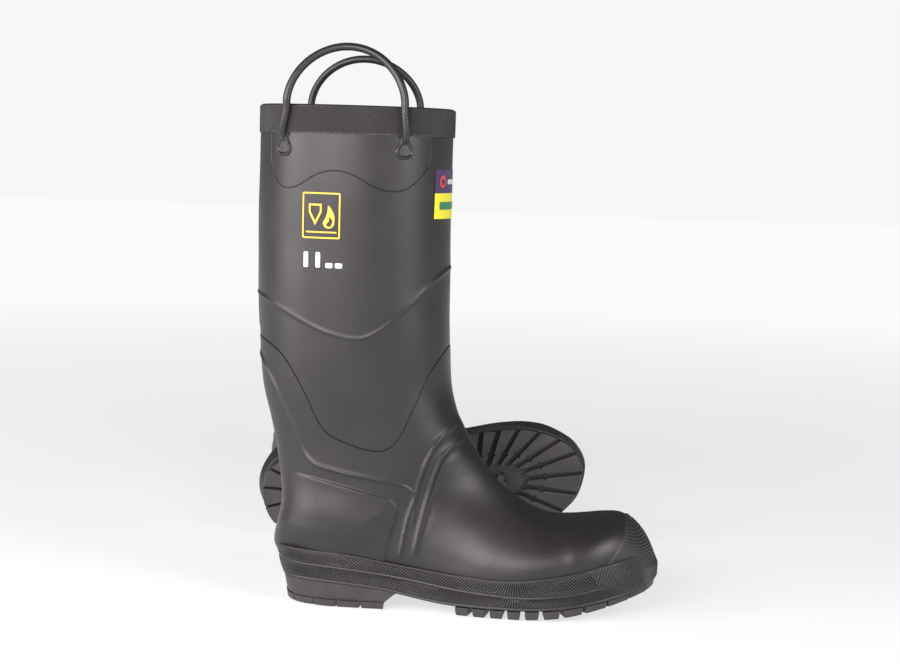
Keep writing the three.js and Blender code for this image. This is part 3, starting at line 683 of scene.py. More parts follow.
def knurl(place_at, length, pitch, rows, height, closed=True):
    """A strip of small pyramids. place_at takes the way along, the way up from 0 to 1, and the height."""
    count = max(3, int(round(length / pitch)))
    p = length / count
    k, j = np.meshgrid(np.arange(rows + 1), np.arange(count), indexing="ij")
    along = (j + 0.5 * (k % 2)) * p
    up = k / rows
    low = place_at(along.ravel(), up.ravel(), np.zeros(along.size))
    tips = np.where((k == 0) | (k == rows), EDGE_TIP, 1.0) * height
    tip = place_at((along + 0.5 * p).ravel(), up.ravel(), tips.ravel())
    points = np.concatenate([low, tip])
    base = low.shape[0]
    faces = []
    last = count if closed else count - 1
    for r in range(rows + 1):
        for c in range(last):
            left, right, top = r * count + c, r * count + (c + 1) % count, base + r * count + c
            beside = (c + (r % 2)) % count
            if r < rows:
                peak = (r + 1) * count + beside
                faces += [(left, top, peak), (top, right, peak)]
            if r > 0:
                foot = (r - 1) * count + beside
                faces += [(left, foot, top), (foot, right, top)]
    return points, faces


def rib_rows(place_at, length, pitch, ups, height):
    """A closed strip of slanted ribs: a grid whose columns follow the ribs, four to a rib."""
    count = 4 * int(round(length / pitch))
    crest = np.array([0.0, 0.75, 1.0, 0.75])[np.arange(count) % 4] * height
    along = np.arange(count) * length / count
    fades = [0.25 if u in (ups[0], ups[-1]) else 1.0 for u in ups]
    return as_grid([place_at(along, np.full(count, u), crest * fade) for u, fade in zip(ups, fades)], True)


def edge_rows(place_at, length, rows, count, closed=True):
    """Plain rows along a strip: each row is (up, height)."""
    along = np.linspace(0, length, count, endpoint=not closed)
    return as_grid([place_at(along, np.full(count, float(u)), np.full(count, h)) for u, h in rows], closed)


# The band round the top edge.
BAND_LOW, BAND_HIGH, BAND_OUT = 378.3, 399.6, 1.0
BAND_PITCH = 2.35
inner_half, outer_half = (half_ring(0.0, s)[0] for s in (1, -1))
loop = np.concatenate([inner_half, outer_half[::-1][1:]])
loop_run = run_along(loop)
LOOP_LENGTH = loop_run[-1]


def band_at(along, up, height):
    """A place on the band: along it, up it, and outwards, round the leg's top ring at every height."""
    x, y, _ = points_at(loop, loop_run, np.mod(along, LOOP_LENGTH)).T
    x1, y1, _ = points_at(loop, loop_run, np.mod(along + 0.5, LOOP_LENGTH)).T
    size = np.maximum(np.hypot(x1 - x, y1 - y), 1e-6)
    nx, ny = -(y1 - y) / size, (x1 - x) / size
    flip = np.where(nx * (x - LEG_CENTRE) + ny * y < 0, -1, 1)
    out = BAND_OUT + height
    along = np.mod(along, LOOP_LENGTH)
    wobble = 0.35 * np.sin(along * 0.9) * np.sin(along * 0.37 + 1) * (up == 0)
    z = BAND_LOW + wobble + up * (BAND_HIGH - BAND_LOW)
    return np.stack([x + flip * nx * out, y + flip * ny * out, z], -1)


band = joined(
    knurl(band_at, LOOP_LENGTH, BAND_PITCH, 18, 0.62),
    edge_rows(band_at, LOOP_LENGTH, [(0.0, -1.6), (0.0, 0.05)], 400),
    edge_rows(band_at, LOOP_LENGTH, [(1.0, 0.05), (1.015, -0.5), (1.02, -1.6)], 400),
)
both("collar_band", *band, GROOVED_RUBBER, "collar_band", "knurled_rubber", smooth=False)

# ---------------------------------------------------------------- the sole's outline
inner_side = SOLE_WIDTHS[:, [0, 2]]
outer_side = SOLE_WIDTHS[::-1][1:, [0, 1]] * [1, -1]
knots = np.concatenate([inner_side, outer_side[:-1]])
PER_KNOT = 24
knot_t = np.arange(len(knots) * PER_KNOT) / PER_KNOT
wrapped = np.concatenate([knots[-2:], knots, knots[:3]])
core = np.stack([catmull(wrapped[:, k], knot_t + 2) for k in (0, 1)], -1)
core_closed = np.concatenate([core, core[:1]])
core_run = run_along(core_closed)
SOLE_LENGTH = core_run[-1]


def sole_edge(along):
    """A place on the sole's core outline and the outward direction there."""
    places = [np.mod(along + d, SOLE_LENGTH) for d in (-2.0, 0.0, 2.0)]
    before, p, after = (points_at(core_closed, core_run, s) for s in places)
    d = after - before
    d /= np.linalg.norm(d, axis=-1, keepdims=True)
    return p, np.stack([-d[..., 1], d[..., 0]], -1)


def ground(x):
    """The height of the lugs' feet."""
    return sheet_bottom(x) - LUG + smooth_height(TOE_SPRING, x)


def sheet_bottom(x):
    """The height of the tread's sheet, between the lugs."""
    return smooth_height(UNDERSIDE, x) - PAD - BASE - SHEET_DROP


def heel_lean(x, z):
    """How far the heel's side strips lean out going up."""
    return np.clip((42 - x) / 42, 0, 1) * (np.clip(z, 18, 54) - 32.5) * 0.3


def toe_lean(x, z):
    """How far the toe's side strips lean back above the ball of the toe."""
    return -0.42 * ease(np.asarray(x), 262, 296) * np.clip(z - 39, 0, 20)


def edge_point(along, out, z_of):
    """A place on the sole's side: out from the core outline, at a height that depends on x."""
    p, n = sole_edge(along)
    z = z_of(p[:, 0])
    reach = out + heel_lean(p[:, 0], z) + toe_lean(p[:, 0], z)
    return np.concatenate([p + n * reach[:, None], z[:, None]], -1)


def line_z(x):
    return smooth_height(FOXING_LINE, x)


def top_z(x):
    return smooth_height(FOXING_TOP, x)


def foot_z(x):
    return sheet_bottom(x) + 0.8


def slanted(along, up, low_z, high_z):
    """The way along at a rib's height: ribs lean ahead behind the ball of the foot, and back before it."""
    p, _ = sole_edge(along)
    tall = high_z(p[:, 0]) - low_z(p[:, 0])
    return along + 0.9 * up * tall * np.tanh((195 - p[:, 0]) / 28) * np.tanh(p[:, 1] / 16)


def upper_at(along, up, height):
    s = slanted(along, up, line_z, top_z)
    out = 2.7 - 0.5 * np.sin(PI * np.clip(up, 0, 1)) + height
    return edge_point(s, out, lambda x: line_z(x) + 1.0 + up * (top_z(x) - line_z(x) - 1.6))


def lower_at(along, up, height):
    s = slanted(along, up, foot_z, line_z)
    out = 2.9 + 0.25 * np.sin(PI * np.clip(up, 0, 1)) + height
    return edge_point(s, out, lambda x: foot_z(x) + 2.2 + up * (line_z(x) - foot_z(x) - 3.2))


RIB_PITCH = 2.4
RIB_UPS = [0.0, 0.08, 0.3, 0.5, 0.7, 0.92, 1.0]
EDGE_COUNT = 720


def plain_rows(*rows):
    """Rows round the sole, each (outward reach, height function, offset)."""
    along = np.arange(EDGE_COUNT) * SOLE_LENGTH / EDGE_COUNT
    return as_grid([edge_point(along, reach, lambda x: z_of(x) + dz) for reach, z_of, dz in rows], True)


upper_lip = plain_rows((2.75, top_z, -0.75), (3.05, top_z, -0.45), (2.9, top_z, -0.05), (2.2, top_z, 0.15),
                       (0.2, top_z, -0.5), (-3.5, top_z, -1.5))
upper_foot = plain_rows((-1.0, line_z, 0.2), (2.5, line_z, 0.2), (2.7, line_z, 1.05))
line_bead = plain_rows((1.0, line_z, 0.8), (2.9, line_z, 0.8), (3.2, line_z, 0.2), (3.2, line_z, -0.6),
                       (2.6, line_z, -1.1))
foot_bead = plain_rows((3.2, foot_z, 2.3), (3.6, foot_z, 1.9), (3.75, foot_z, 1.2), (3.6, foot_z, 0.3),
                       (3.0, foot_z, 0.0), (-1.0, foot_z, 0.0))
foxing_upper = joined(rib_rows(upper_at, SOLE_LENGTH, RIB_PITCH, RIB_UPS, 1.05), upper_lip, upper_foot)
foxing_lower = rib_rows(lower_at, SOLE_LENGTH, RIB_PITCH, RIB_UPS, 1.0)
both("foxing_upper", *foxing_upper, GROOVED_RUBBER, "foxing_upper", "knurled_rubber", sharp=50)
both("foxing_lower", *foxing_lower, GROOVED_RUBBER, "foxing_lower", "knurled_rubber", sharp=50)
both("foxing_beads", *joined(line_bead, foot_bead), GROOVED_RUBBER, None, "knurled_rubber", sharp=60)

# ---------------------------------------------------------------- the toe's bumper and cover
toe_tip = core_run[int(np.argmax(core[:, 0]))]
BUMPER_HALF = 74.0
BUMPER_LENGTH = 2 * BUMPER_HALF
BUMPER_PITCH = 2.4


def bumper_at(along, up, height):
    """A place on the bumper: its ends are slanted and feathered into the strip behind them."""
    s = toe_tip - BUMPER_HALF + along + (0.5 - up) * 14.0 * (1 - along / BUMPER_HALF)
    thick = 3.1 + 1.3 * ease(np.minimum(along, BUMPER_LENGTH - along), 0, 45)
    swell = 0.3 * np.sin(PI * np.clip(up, 0, 1))
    out = thick + swell + height
    return edge_point(s, out, lambda x: foot_z(x) + 2.4 + up * (top_z(x) - foot_z(x) - 2.7))


def end_wall(place_at, along, low_height, count=12):
    """A wall across a strip's end, from its surface in to a height."""
    ups, where = np.linspace(0, 1, count), np.full(count, float(along))
    return as_grid([place_at(where, ups, np.full(count, h)) for h in (0.0, low_height)])


bumper = joined(
    knurl(bumper_at, BUMPER_LENGTH - 0.01, BUMPER_PITCH, 16, 0.85, closed=False),
    edge_rows(bumper_at, BUMPER_LENGTH, [(0.99, 0.1), (1.02, -0.2), (1.03, -4.5)], 90, closed=False),
    edge_rows(bumper_at, BUMPER_LENGTH, [(0.0, -3.0), (0.0, 0.1)], 90, closed=False),
    *(end_wall(bumper_at, along, -3.0) for along in (0.4, BUMPER_LENGTH - 0.4)),
)
both("toe_bumper", *bumper, GROOVED_RUBBER, "toe_bumper", "knurled_rubber", smooth=False)

COVER_PITCH, COVER_FOOT = 2.2, 36
toe_mesh = as_grid(skin_grid(spaced_stations(17.5, LAST_RING, 0.62), 110), True)
bm = as_bmesh(toe_mesh[0], toe_mesh[1][:, ::-1])
tip_ring = [v for v in bm.verts if v.is_boundary and v.co.x > 290]
bmesh.ops.contextual_create(bm, geom=tip_ring)
cut(bm, toe_seam, (-0.9, -0.3, 0.0))
co, no = points_and_normals(bm)
f = -toe_seam(co, no)
contour = co[:, 2] + 0.16 * (co[:, 0] - 262) + 0.9 * np.sin(co[:, 0] * 0.16 + co[:, 1] * 0.05)
ribs = np.abs(np.sin(contour * PI / COVER_PITCH))
raise_points(bm, 0.25 + 0.95 * ease(f, 0.0, 0.9) + 0.85 * ribs * ease(f, 1.0, 2.0), no)
cover_co, cover_faces = mesh_arrays(bm)
centre, centre_no = face_means(cover_faces, co, no)
cover = part_of(cover_co, cover_faces, (toe_seam(centre, centre_no) < 0) & (centre[:, 2] > COVER_FOOT))
both("toe_cover", *cover, GROOVED_RUBBER, "toe_cover", "knurled_rubber", sharp=80)

# ---------------------------------------------------------------- the tread
def between(line, a, b, count):
    """Points along a polyline between two lengths."""
    return points_at(line, run_along(line), np.linspace(a, b, count))


def length_of(line):
    return float(np.linalg.norm(np.diff(line, axis=0), axis=1).sum())


# How much further each wall of a groove stands back, at shares of the groove's way in: the lug's neck.
NECK = np.array([(0.0, 0.0), (0.3, 0.1), (0.6, 0.3), (0.645, 0.4), (0.67, 1.6), (0.7, 1.6), (0.725, 0.3),
                 (0.86, 0.4), (0.985, 0.6), (1.0, 1.1)])


def lug_ends(count, ends, middle):
    """Shares of a tread's edge where its lugs meet, from the lugs' widths at its ends and in its middle."""
    off = np.abs((np.arange(count) + 0.5) / count - 0.5) * 2
    width = middle + (ends - middle) * ease(off, 0.2, 0.7)
    return np.concatenate([[0], np.cumsum(width)]) / width.sum()


def lug_outline(edge, heart, at, k, gap_of, inset):
    """A tread lug between two grooves: broad at the sole's edge, pinched at its neck, blunt at the heart."""
    rim_at, heart_at = at[0] * length_of(edge), at[1] * length_of(heart)
    spot = lambda line, s: between(line, s, s, 1)[0]
    middle = spot(edge, (rim_at[k] + rim_at[k + 1]) / 2)
    rows = []
    for j in (k, k + 1):
        a, b = spot(edge, rim_at[j]), spot(heart, heart_at[j])
        d = (b - a) / np.linalg.norm(b - a)
        n = np.array([-d[1], d[0]])
        n = n if n @ (middle - a) > 0 else -n
        gap, size = gap_of(at[0][j]), np.linalg.norm(b - a)
        s = np.clip(NECK[:, :1], (0.2 + inset) / size, 1 - inset / size)
        rows.append(a + (b - a) * s + n * (gap + NECK[:, 1:] + inset))
    inward = spot(heart, (heart_at[k] + heart_at[k + 1]) / 2) - middle
    inward /= np.linalg.norm(inward)
    a0, a1 = rows[0][0], rows[1][0]
    rim = [q + inward * (0.2 + inset) for q in between(edge, rim_at[k], rim_at[k + 1], 7)[1:-1]]
    keep = [q for q in rim if (q - a0) @ (a1 - a0) > 0.6 and (q - a1) @ (a0 - a1) > 0.6]
    return np.concatenate([rows[0][::-1], np.array(keep).reshape(-1, 2), rows[1]])


def block(outline_of, root, foot):
    """A lug with drafted walls and a rounded top edge, from its root's height to its foot's, both of x."""
    rings = []
    for inset, blend in ((-0.7, 0.0), (-0.15, 0.72), (0.05, 0.87), (0.25, 0.96), (0.6, 1.0)):
        flat = outline_of(inset)
        z = root(flat[:, 0]) * (1 - blend) + foot(flat[:, 0]) * blend
        rings.append(np.concatenate([flat, z[:, None]], -1))
    n = len(rings[0])
    faces = [tuple(q) for q in grid_faces(len(rings), n, True)]
    faces.append(tuple((len(rings) - 1) * n + k for k in range(n)))
    return np.concatenate(rings), faces


def stud_outline(centre, radius, turn):
    """A square cross with four notched sides."""
    a = np.linspace(0, 2 * PI, 64, endpoint=False)
    quarter = np.mod(a + PI / 4, PI / 2) - PI / 4
    r = radius * np.minimum(1 / np.cos(quarter), 1.24)
    notch = np.exp(-((quarter / 0.17) ** 2)) * 0.3

    def outline(inset):
        reach = r * (1 - notch) - inset
        return np.stack([centre[0] + reach * np.cos(a + turn), centre[1] + reach * np.sin(a + turn)], -1)

    return outline


def tread_edge(start_x, ahead):
    """The tread's edge: round the toe from the inner side when ahead, else round the heel."""
    s = np.linspace(0, SOLE_LENGTH, 2000, endpoint=False)
    p, n = sole_edge(s)
    inner, outer = p[:, 1] > 0, p[:, 1] <= 0
    inner_end = s[inner & (p[:, 0] < start_x)].max()
    outer_end = s[outer & (p[:, 0] > start_x)].max()
    first, last = (inner_end, outer_end) if ahead else (outer_end, inner_end + SOLE_LENGTH)
    along = np.linspace(first, last, 400)
    q, m = sole_edge(along)
    return q + m * 2.6


fore_edge = tread_edge(146, True)
fore_heart = smooth_line([(156, 15), (190, 17.5), (222, 18.5), (243, 16), (255, 4), (248, -9), (226, -14),
                          (190, -14.5), (158, -14)], 120)
FORE_LUGS, HEEL_LUGS = 22, 11
FORE_STUDS = [(176, 1), (198, -5), (204, 9), (228, 2)]


def fore_gap(q):
    """Half a groove's width at a share of the tread's edge: wider towards the edge's two ends."""
    return 1.55 + 0.75 * (1 - float(ease(min(q, 1 - q), 0.2, 0.36)))


def lugs(count, edge, heart, at, gap_of, root, foot):
    """All the lugs between a tread's edge and its heart."""
    outlines = (lambda inset, k=k: lug_outline(edge, heart, at, k, gap_of, inset) for k in range(count))
    return [block(outline, root, foot) for outline in outlines]


fore_at = (lug_ends(FORE_LUGS, 0.82, 1.2), lug_ends(FORE_LUGS, 1.12, 0.85))
fore = lugs(FORE_LUGS, fore_edge, fore_heart, fore_at, fore_gap, sheet_bottom, ground)
studs = [block(stud_outline(c, 6.6, 0.35 + 0.5 * k), sheet_bottom, ground) for k, c in enumerate(FORE_STUDS)]


def plate(x0, x1, z_of, count=150, across=24):
    """A smooth sheet across the sole between two lengths."""
    p, _ = sole_edge(np.linspace(0, SOLE_LENGTH, 4000, endpoint=False))
    rows = []
    for x in np.linspace(x0, x1, count):
        inner = p[:, 1] > np.interp(x, [0, 303], [0, 7])
        yi, yo = (half[np.argmin(np.abs(half[:, 0] - x)), 1] for half in (p[inner], p[~inner]))
        ys = np.linspace(yi + 0.6, yo - 0.6, across)
        rows.append(np.stack([np.full(across, x), ys, np.full(across, float(z_of(x)))], -1))
    return as_grid(rows)


outsole = joined(plate(6, 302.4, sheet_bottom), *fore, *studs)
both("outsole", *outsole, TREAD_RUBBER, "outsole", "tread_rubber", sharp=28)

heel_edge = tread_edge(90, False)
tuck = np.clip((42 - heel_edge[:, 0]) / 42, 0, 1)[:, None]
outwards = heel_edge - [48, 0]
outwards /= np.linalg.norm(outwards, axis=1, keepdims=True)
heel_foot = heel_edge - outwards * (0.2 + 6.0 * tuck)
heel_heart = smooth_line([(84, -14), (54, -15), (38, -11), (31, 0), (38, 11), (54, 14), (84, 13)], 80)


def heel_floor(x):
    return np.zeros(np.shape(x))


def heel_root(x):
    return np.full(np.shape(x), HEEL_LUG)


heel_at = (lug_ends(HEEL_LUGS, 1, 1),) * 2
heel_lugs = lugs(HEEL_LUGS, heel_foot, heel_heart, heel_at, lambda q: 1.0, heel_root, heel_floor)


def heel_wall():
    """The heel block's side and its slanted breast, from its own tread up to the sole."""
    rows = []
    for up, grow in ((0.0, -0.6), (0.06, -0.2), (0.3, 0.0), (0.7, 0.2), (1.0, 0.5)):
        side = heel_foot + outwards * (grow + 2.6 * tuck * up)
        breast = np.stack([np.full(14, side[-1][0]), np.linspace(side[-1][1], side[0][1], 16)[1:-1]], -1)
        flat = np.concatenate([side, breast])
        flat[:, 0] += np.clip((flat[:, 0] - 80) / 10, 0, 1) * 9 * up
        z = HEEL_LUG + up * (sheet_bottom(flat[:, 0]) + 0.6 - HEEL_LUG)
        rows.append(np.concatenate([flat, z[:, None]], -1))
    n = len(rows[0])
    faces = [tuple(q) for q in grid_faces(len(rows), n, True)]
    faces.append(tuple(range(n))[::-1])
    return np.concatenate(rows), faces


heel_block = joined(heel_wall(), *heel_lugs, block(stud_outline((55, 0), 6.2, 0.4), heel_root, heel_floor))
both("heel_block", *heel_block, TREAD_RUBBER, "heel_block", "tread_rubber", sharp=28)

# ---------------------------------------------------------------- pull handles
HANDLE_RADIUS, HANDLE_RISE, HANDLE_LEAN, PIVOT = 3.05, 43.8, 10.0, 402.0
PAD_X, RIM_X = {-1: 2.8, 1: 97.6}, {-1: 7.8, 1: 95.2}
FAR_SAG = 4.4
ARCH_STEPS, ARCH_POWER = 48, 1.1
# A handle's leg: height, distance out from the rubber, and its half-widths across and outwards.
LEG_STEPS = [(373, 0.5, 2.4, 1.3), (375, 1.5, 2.8, 2.0), (377.5, 2.8, 3.05, 2.6), (380, 4.0, 3.05, 2.95),
             (384, 4.7, 3.05, 3.05), (390, 4.9, 3.05, 3.05), (395, 5.0, 3.05, 3.05), (399.5, 5.0, 3.05, 3.05)]
# The real arches bend between these heights and are stiff above them; points at them are worked out below,
# but the script makes nothing bend.
BEND_LOW, BEND_HIGH = 394.0, 412.0


def side_share(side, x):
    """The share of the top ring's side at a place along the boot."""
    p, run, _ = half_ring(0.0, side)
    return float(np.interp(-x, -p[:, 0], run))


def leg_frame(side, share_at, z):
    """A point of the leg's surface with its outward and along directions."""
    t = leg_t(z)
    p = on_ring(t, side, share_at + np.array([-0.004, 0.0, 0.004]))
    along = p[2] - p[0]
    along /= np.linalg.norm(along)
    out = np.array([along[1], -along[0], 0.0])
    if out @ (p[1] - np.array([LEG_CENTRE, 0, z])) < 0:
        out = -out
    q = p[1].copy()
    q[2] = z
    return q, out, along


def tube(path, radii, ref, segments=20):
    """A tube along points, its section an ellipse of radii (across, outwards) with a faint ridge."""
    path = np.array(path)
    tangent = np.gradient(path, axis=0)
    tangent /= np.linalg.norm(tangent, axis=1, keepdims=True)
    rows = []
    a = np.linspace(0, 2 * PI, segments, endpoint=False)
    for p, t, (ra, rb), r in zip(path, tangent, radii, ref):
        b = r - t * (r @ t)
        b /= np.linalg.norm(b)
        c = np.cross(t, b)
        ridge = 1 + 0.05 * np.exp(-((np.abs(np.mod(a + PI, 2 * PI) - PI) / 0.3) ** 2))
        rows.append(p + np.outer(np.cos(a) * ridge * rb, b) + np.outer(np.sin(a) * ra, c))
    faces = [tuple(q) for q in grid_faces(len(path), segments, True)]
    faces += [tuple(range(segments))[::-1], tuple((len(path) - 1) * segments + k for k in range(segments))]
    return np.concatenate(rows), faces


def handle(side):
    """One pull handle: two feet, two legs past the band, and the arch."""
    ends = {}
    for end in (-1, 1):
        foot_at, rim_at = side_share(side, PAD_X[end]), side_share(side, RIM_X[end])
        steps = []
        for z, off, ra, rb in LEG_STEPS:
            share_at = foot_at + (rim_at - foot_at) * float(ease(z, 371, 402))
            q, o, _ = leg_frame(side, share_at, z)
            steps.append((q + o * off, (ra, rb), o))
        ends[end] = steps
    rear, front = ends[-1][-1][0], ends[1][-1][0]
    centre, half = (rear + front) / 2, (front[0] - rear[0]) / 2
    inward = np.array([0, -side, 0.0])
    path, radii, ref = [list(v) for v in zip(*ends[-1])]
    rise = HANDLE_RISE - FAR_SAG * (side > 0)
    for k in range(ARCH_STEPS + 1):
        a = PI * k / ARCH_STEPS
        s = math.sin(a)
        p = centre + np.array([-half * math.cos(a), 0, 0]) + inward * HANDLE_LEAN * s * s
        p[2] = PIVOT + rise * max(s, 0) ** ARCH_POWER
        q = 0.5 - 0.5 * math.cos(a)
        o = ends[-1][-1][2] * (1 - q) + ends[1][-1][2] * q - inward * math.sin(a)
        path.append(p)
        radii.append((HANDLE_RADIUS, HANDLE_RADIUS))
        ref.append(o / np.linalg.norm(o))
    for p, r, o in ends[1][::-1]:
        path.append(p)
        radii.append(r)
        ref.append(o)
    pads = (pad(side, side_share(side, PAD_X[end])) for end in (-1, 1))
    return joined(tube(path, radii, ref), *pads)


PAD_TOP, PAD_FOOT_Z = 19.5, 359.6


def pad_line():
    """The pad's outline: a rounded foot that narrows up to the handle's leg (across, up)."""
    corner = [(8.3 - 6.4 * (1 - math.sin(a)), 6.4 - 6.4 * math.cos(a)) for a in np.linspace(0, PI / 2, 10)]
    half = [(0.0, 0.0), *corner, (7.6, 9.2), (5.6, 12.5), (4.2, 16.0), (3.6, PAD_TOP)]
    return np.array(half[::-1] + [(-x, y) for x, y in half])


def pad(side, share_at):
    """The teardrop foot of a handle: a raised rim round a flat recess, open upwards to the leg."""
    across, up = np.meshgrid(np.linspace(-9.6, 9.6, 52), np.linspace(-1.3, PAD_TOP, 56))
    flat = np.stack([across.ravel(), up.ravel()], -1)
    line = pad_line()
    gap, _ = line_distance(line, flat[:, 0], flat[:, 1])
    half = line[: len(line) // 2][::-1]
    half_at = np.interp(np.clip(flat[:, 1], 0, PAD_TOP), half[:, 1], half[:, 0])
    inside = np.where((np.abs(flat[:, 0]) < half_at) & (flat[:, 1] > 0), np.abs(gap), -np.abs(gap))
    lip = ease(inside, -0.3, 1.4)
    recess = ease(inside, 1.7, 3.6) * (1 - ease(flat[:, 1], 11, 15.5))
    height = (-0.8 + 2.8 * lip - 1.4 * recess - across.ravel() ** 2 / 132.0).reshape(across.shape)
    rows = []
    for p_row, u, h_row in zip(across, up[:, 0], height):
        base, out, along = leg_frame(side, share_at, PAD_FOOT_Z + u)
        rows.append(base + np.outer(p_row, along) + np.outer(h_row, out))
    return as_grid(rows)


for half_name, sign in (("outer", -1), ("inner", 1)):
    p, f = handle(sign)
    for side in SIDES:
        obj = make(f"{side}_handle_{half_name}_looks", p, f, HANDLE_RUBBER, side, sharp=60)
        child = f"{side}_handle_{half_name}"
        foot = f"{side}_handle_foot_{half_name}"
        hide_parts(child, f"{foot}_rear", f"{foot}_front")
        low, high = (in_row([LEG_CENTRE, sign * 60.0, z], side) for z in (BEND_LOW, BEND_HIGH))
        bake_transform(obj)

# ---------------------------------------------------------------- label and prints
LABEL_HALF, LABEL_DEPTH = 37.5, -0.32
LABEL_LOW, LABEL_SPLIT, LABEL_HIGH = 314, 334.2, 352


def label_band(low, high):
    """A band of the label round the front of the leg."""
    rows = []
    for z in np.linspace(low, high, 8):
        s = np.linspace(0, LABEL_HALF / half_ring(leg_t(z), 1)[2], 20)
        inner, outer = (on_ring(leg_t(z), side, s, LABEL_DEPTH) for side in (1, -1))
        rows.append(np.concatenate([outer[::-1], inner[1:]]))
    return as_grid(rows)


top_half, low_half = label_band(LABEL_SPLIT, LABEL_HIGH), label_band(LABEL_LOW, LABEL_SPLIT)
both("front_label", *top_half, LABEL_PURPLE, "front_label", "label_print", sharp=180)
both("front_label_foot", *low_half, LABEL_YELLOW, None, "label_print", sharp=180)


def print_on(name, field, x_span, z_span, material_used, step=0.6, depth=-0.3, front=False):
    """Ink where a field is below zero: of (x, z) on the leg's outer side, or of the way round its front."""
    xs = np.arange(x_span[0], x_span[1] + step, step)
    zs = np.arange(z_span[0], z_span[1] + step, step)
    rows = []
    for z in zs:
        t = leg_t(z)
        if front:
            share_at = np.abs(xs) / half_ring(t, -1)[2]
            outer, inner = (on_ring(t, side, share_at, depth) for side in (-1, 1))
            rows.append(np.where(xs[:, None] < 0, outer, inner))
        else:
            p, _, _ = half_ring(t, -1, depth)
            y = np.interp(-xs, -p[:, 0], p[:, 1])
            rows.append(np.stack([xs, y, np.full(len(xs), z)], -1))
    grid = np.array(rows)
    flat = np.stack(np.meshgrid(zs, xs, indexing="ij")[::-1], -1).reshape(-1, 2)
    bm = as_bmesh(np.concatenate([flat, np.zeros((len(flat), 1))], -1), grid_faces(len(zs), len(xs), False))
    cut(bm, lambda co, no: field(co[:, 0], co[:, 1]), (0.0,))
    points, faces = mesh_arrays(bm)
    (middle,) = face_means(faces, points)
    p, f = part_of(points, faces, field(middle[:, 0], middle[:, 1]) < 0)
    u = np.clip((p[:, 0] - xs[0]) / step, 0, len(xs) - 1.001)
    v = np.clip((p[:, 1] - zs[0]) / step, 0, len(zs) - 1.001)
    i, j = v.astype(int), u.astype(int)
    a, b = (v - i)[:, None], (u - j)[:, None]
    placed = (grid[i, j] * (1 - b) + grid[i, j + 1] * b) * (1 - a)
    placed += (grid[i + 1, j] * (1 - b) + grid[i + 1, j + 1] * b) * a
    if not front:
        f = [q[::-1] for q in f]
    both(name, placed, f, material_used, None, "rubber", sharp=180)


def box_field(x, z, x0, x1, z0, z1, round_by=0.0):
    """Distance to an upright rectangle, negative inside."""
    qx = np.abs(x - (x0 + x1) / 2) - (x1 - x0) / 2 + round_by
    qz = np.abs(z - (z0 + z1) / 2) - (z1 - z0) / 2 + round_by
    return np.hypot(np.maximum(qx, 0), np.maximum(qz, 0)) + np.minimum(np.maximum(qx, qz), 0) - round_by


def drop_field(x, z, cx, cz, r, tall):
    """Distance to a flame-like drop, round below and pointed above, its tip bent a little."""
    up = np.clip((z - cz) / tall, 0, 1)
    half = r * (1 - up) ** 0.75
    mid = cx + 1.4 * np.sin(up * 3.4)
    round_part = np.hypot(x - cx, z - cz) - r
    return np.where(z < cz, round_part, np.maximum(np.abs(x - mid) - half, z - cz - tall))


def mark_field(x, z):
    """A plain frame round a shield and a flame over a bar."""
    frame_line = np.abs(box_field(x, z, 20.0, 49.2, 297.6, 332.2, 0.8)) - 0.62
    bar = box_field(x, z, 22.4, 47.0, 301.4, 302.6)
    flame = drop_field(x, z, 40.6, 309.6, 4.6, 13.5)
    hollow = drop_field(x, z, 40.9, 308.4, 2.1, 6.0)
    flame = np.maximum(flame, -hollow)
    arms = np.abs(x - 29.8)
    shield = np.maximum(np.maximum(arms - 5.2, z - 324.0), arms * 0.82 - (z - 307.2) * 0.42)
    badge = np.maximum(shield, -(shield + 1.5))
    return np.minimum.reduce([frame_line, bar, flame, badge])


def dash_field(x, z):
    """A row of short bars, two tall and two low."""
    bars = [(20.8, 24.6, 286.4), (30.6, 34.4, 286.4), (38.6, 44.4, 278.2), (46.2, 52.0, 278.2)]
    return np.minimum.reduce([box_field(x, z, a, b, 274.2, top, 1.0) for a, b, top in bars])


def label_ring(x, z):
    return np.abs(np.hypot(x + 27, z - 343.2) - 3.6) - 1.15


def label_bar(x, z):
    return box_field(x, z, -18.5, 24, 341.4, 345.0, 1.2)


def label_stripe(x, z):
    return np.minimum(*(box_field(x, z, a, b, 321.2, 327.4, 1.4) for a, b in ((-31, -4), (0, 27))))


print_on("mark", mark_field, (19, 50.4), (296.4, 333.4), YELLOW_INK)
print_on("dashes", dash_field, (19, 53.2), (272.6, 288), WHITE_INK, step=0.5)
LABEL_PRINTS = [
    ("label_ring", label_ring, (-33, -21), (337, 349.5), LABEL_RED),
    ("label_bar", label_bar, (-20, 26), (340, 346.5), WHITE_INK),
    ("label_stripe", label_stripe, (-33, 29), (320, 328.6), LABEL_GREEN),
]
for printed_part in LABEL_PRINTS:
    print_on(*printed_part, depth=-0.5, front=True)

# ---------------------------------------------------------------- floor, light and camera
def floor_paint(tree, shader, place):
    """A pale floor that grows a little brighter away from the boots, up to the white behind it."""
    shader.inputs["Base Color"].default_value = (0.34, 0.34, 0.34, 1)
    shader.inputs["Roughness"].default_value = 0.9
    shader.inputs["Emission Color"].default_value = (1, 1, 1, 1)
    far = add(tree, "ShaderNodeVectorMath", {0: place})
    far.operation = "LENGTH"
    glow = spread(tree, far.outputs["Value"], 0.68, 0.915, 0.5, 2.6)
    tree.links.new(glow, shader.inputs["Emission Strength"])


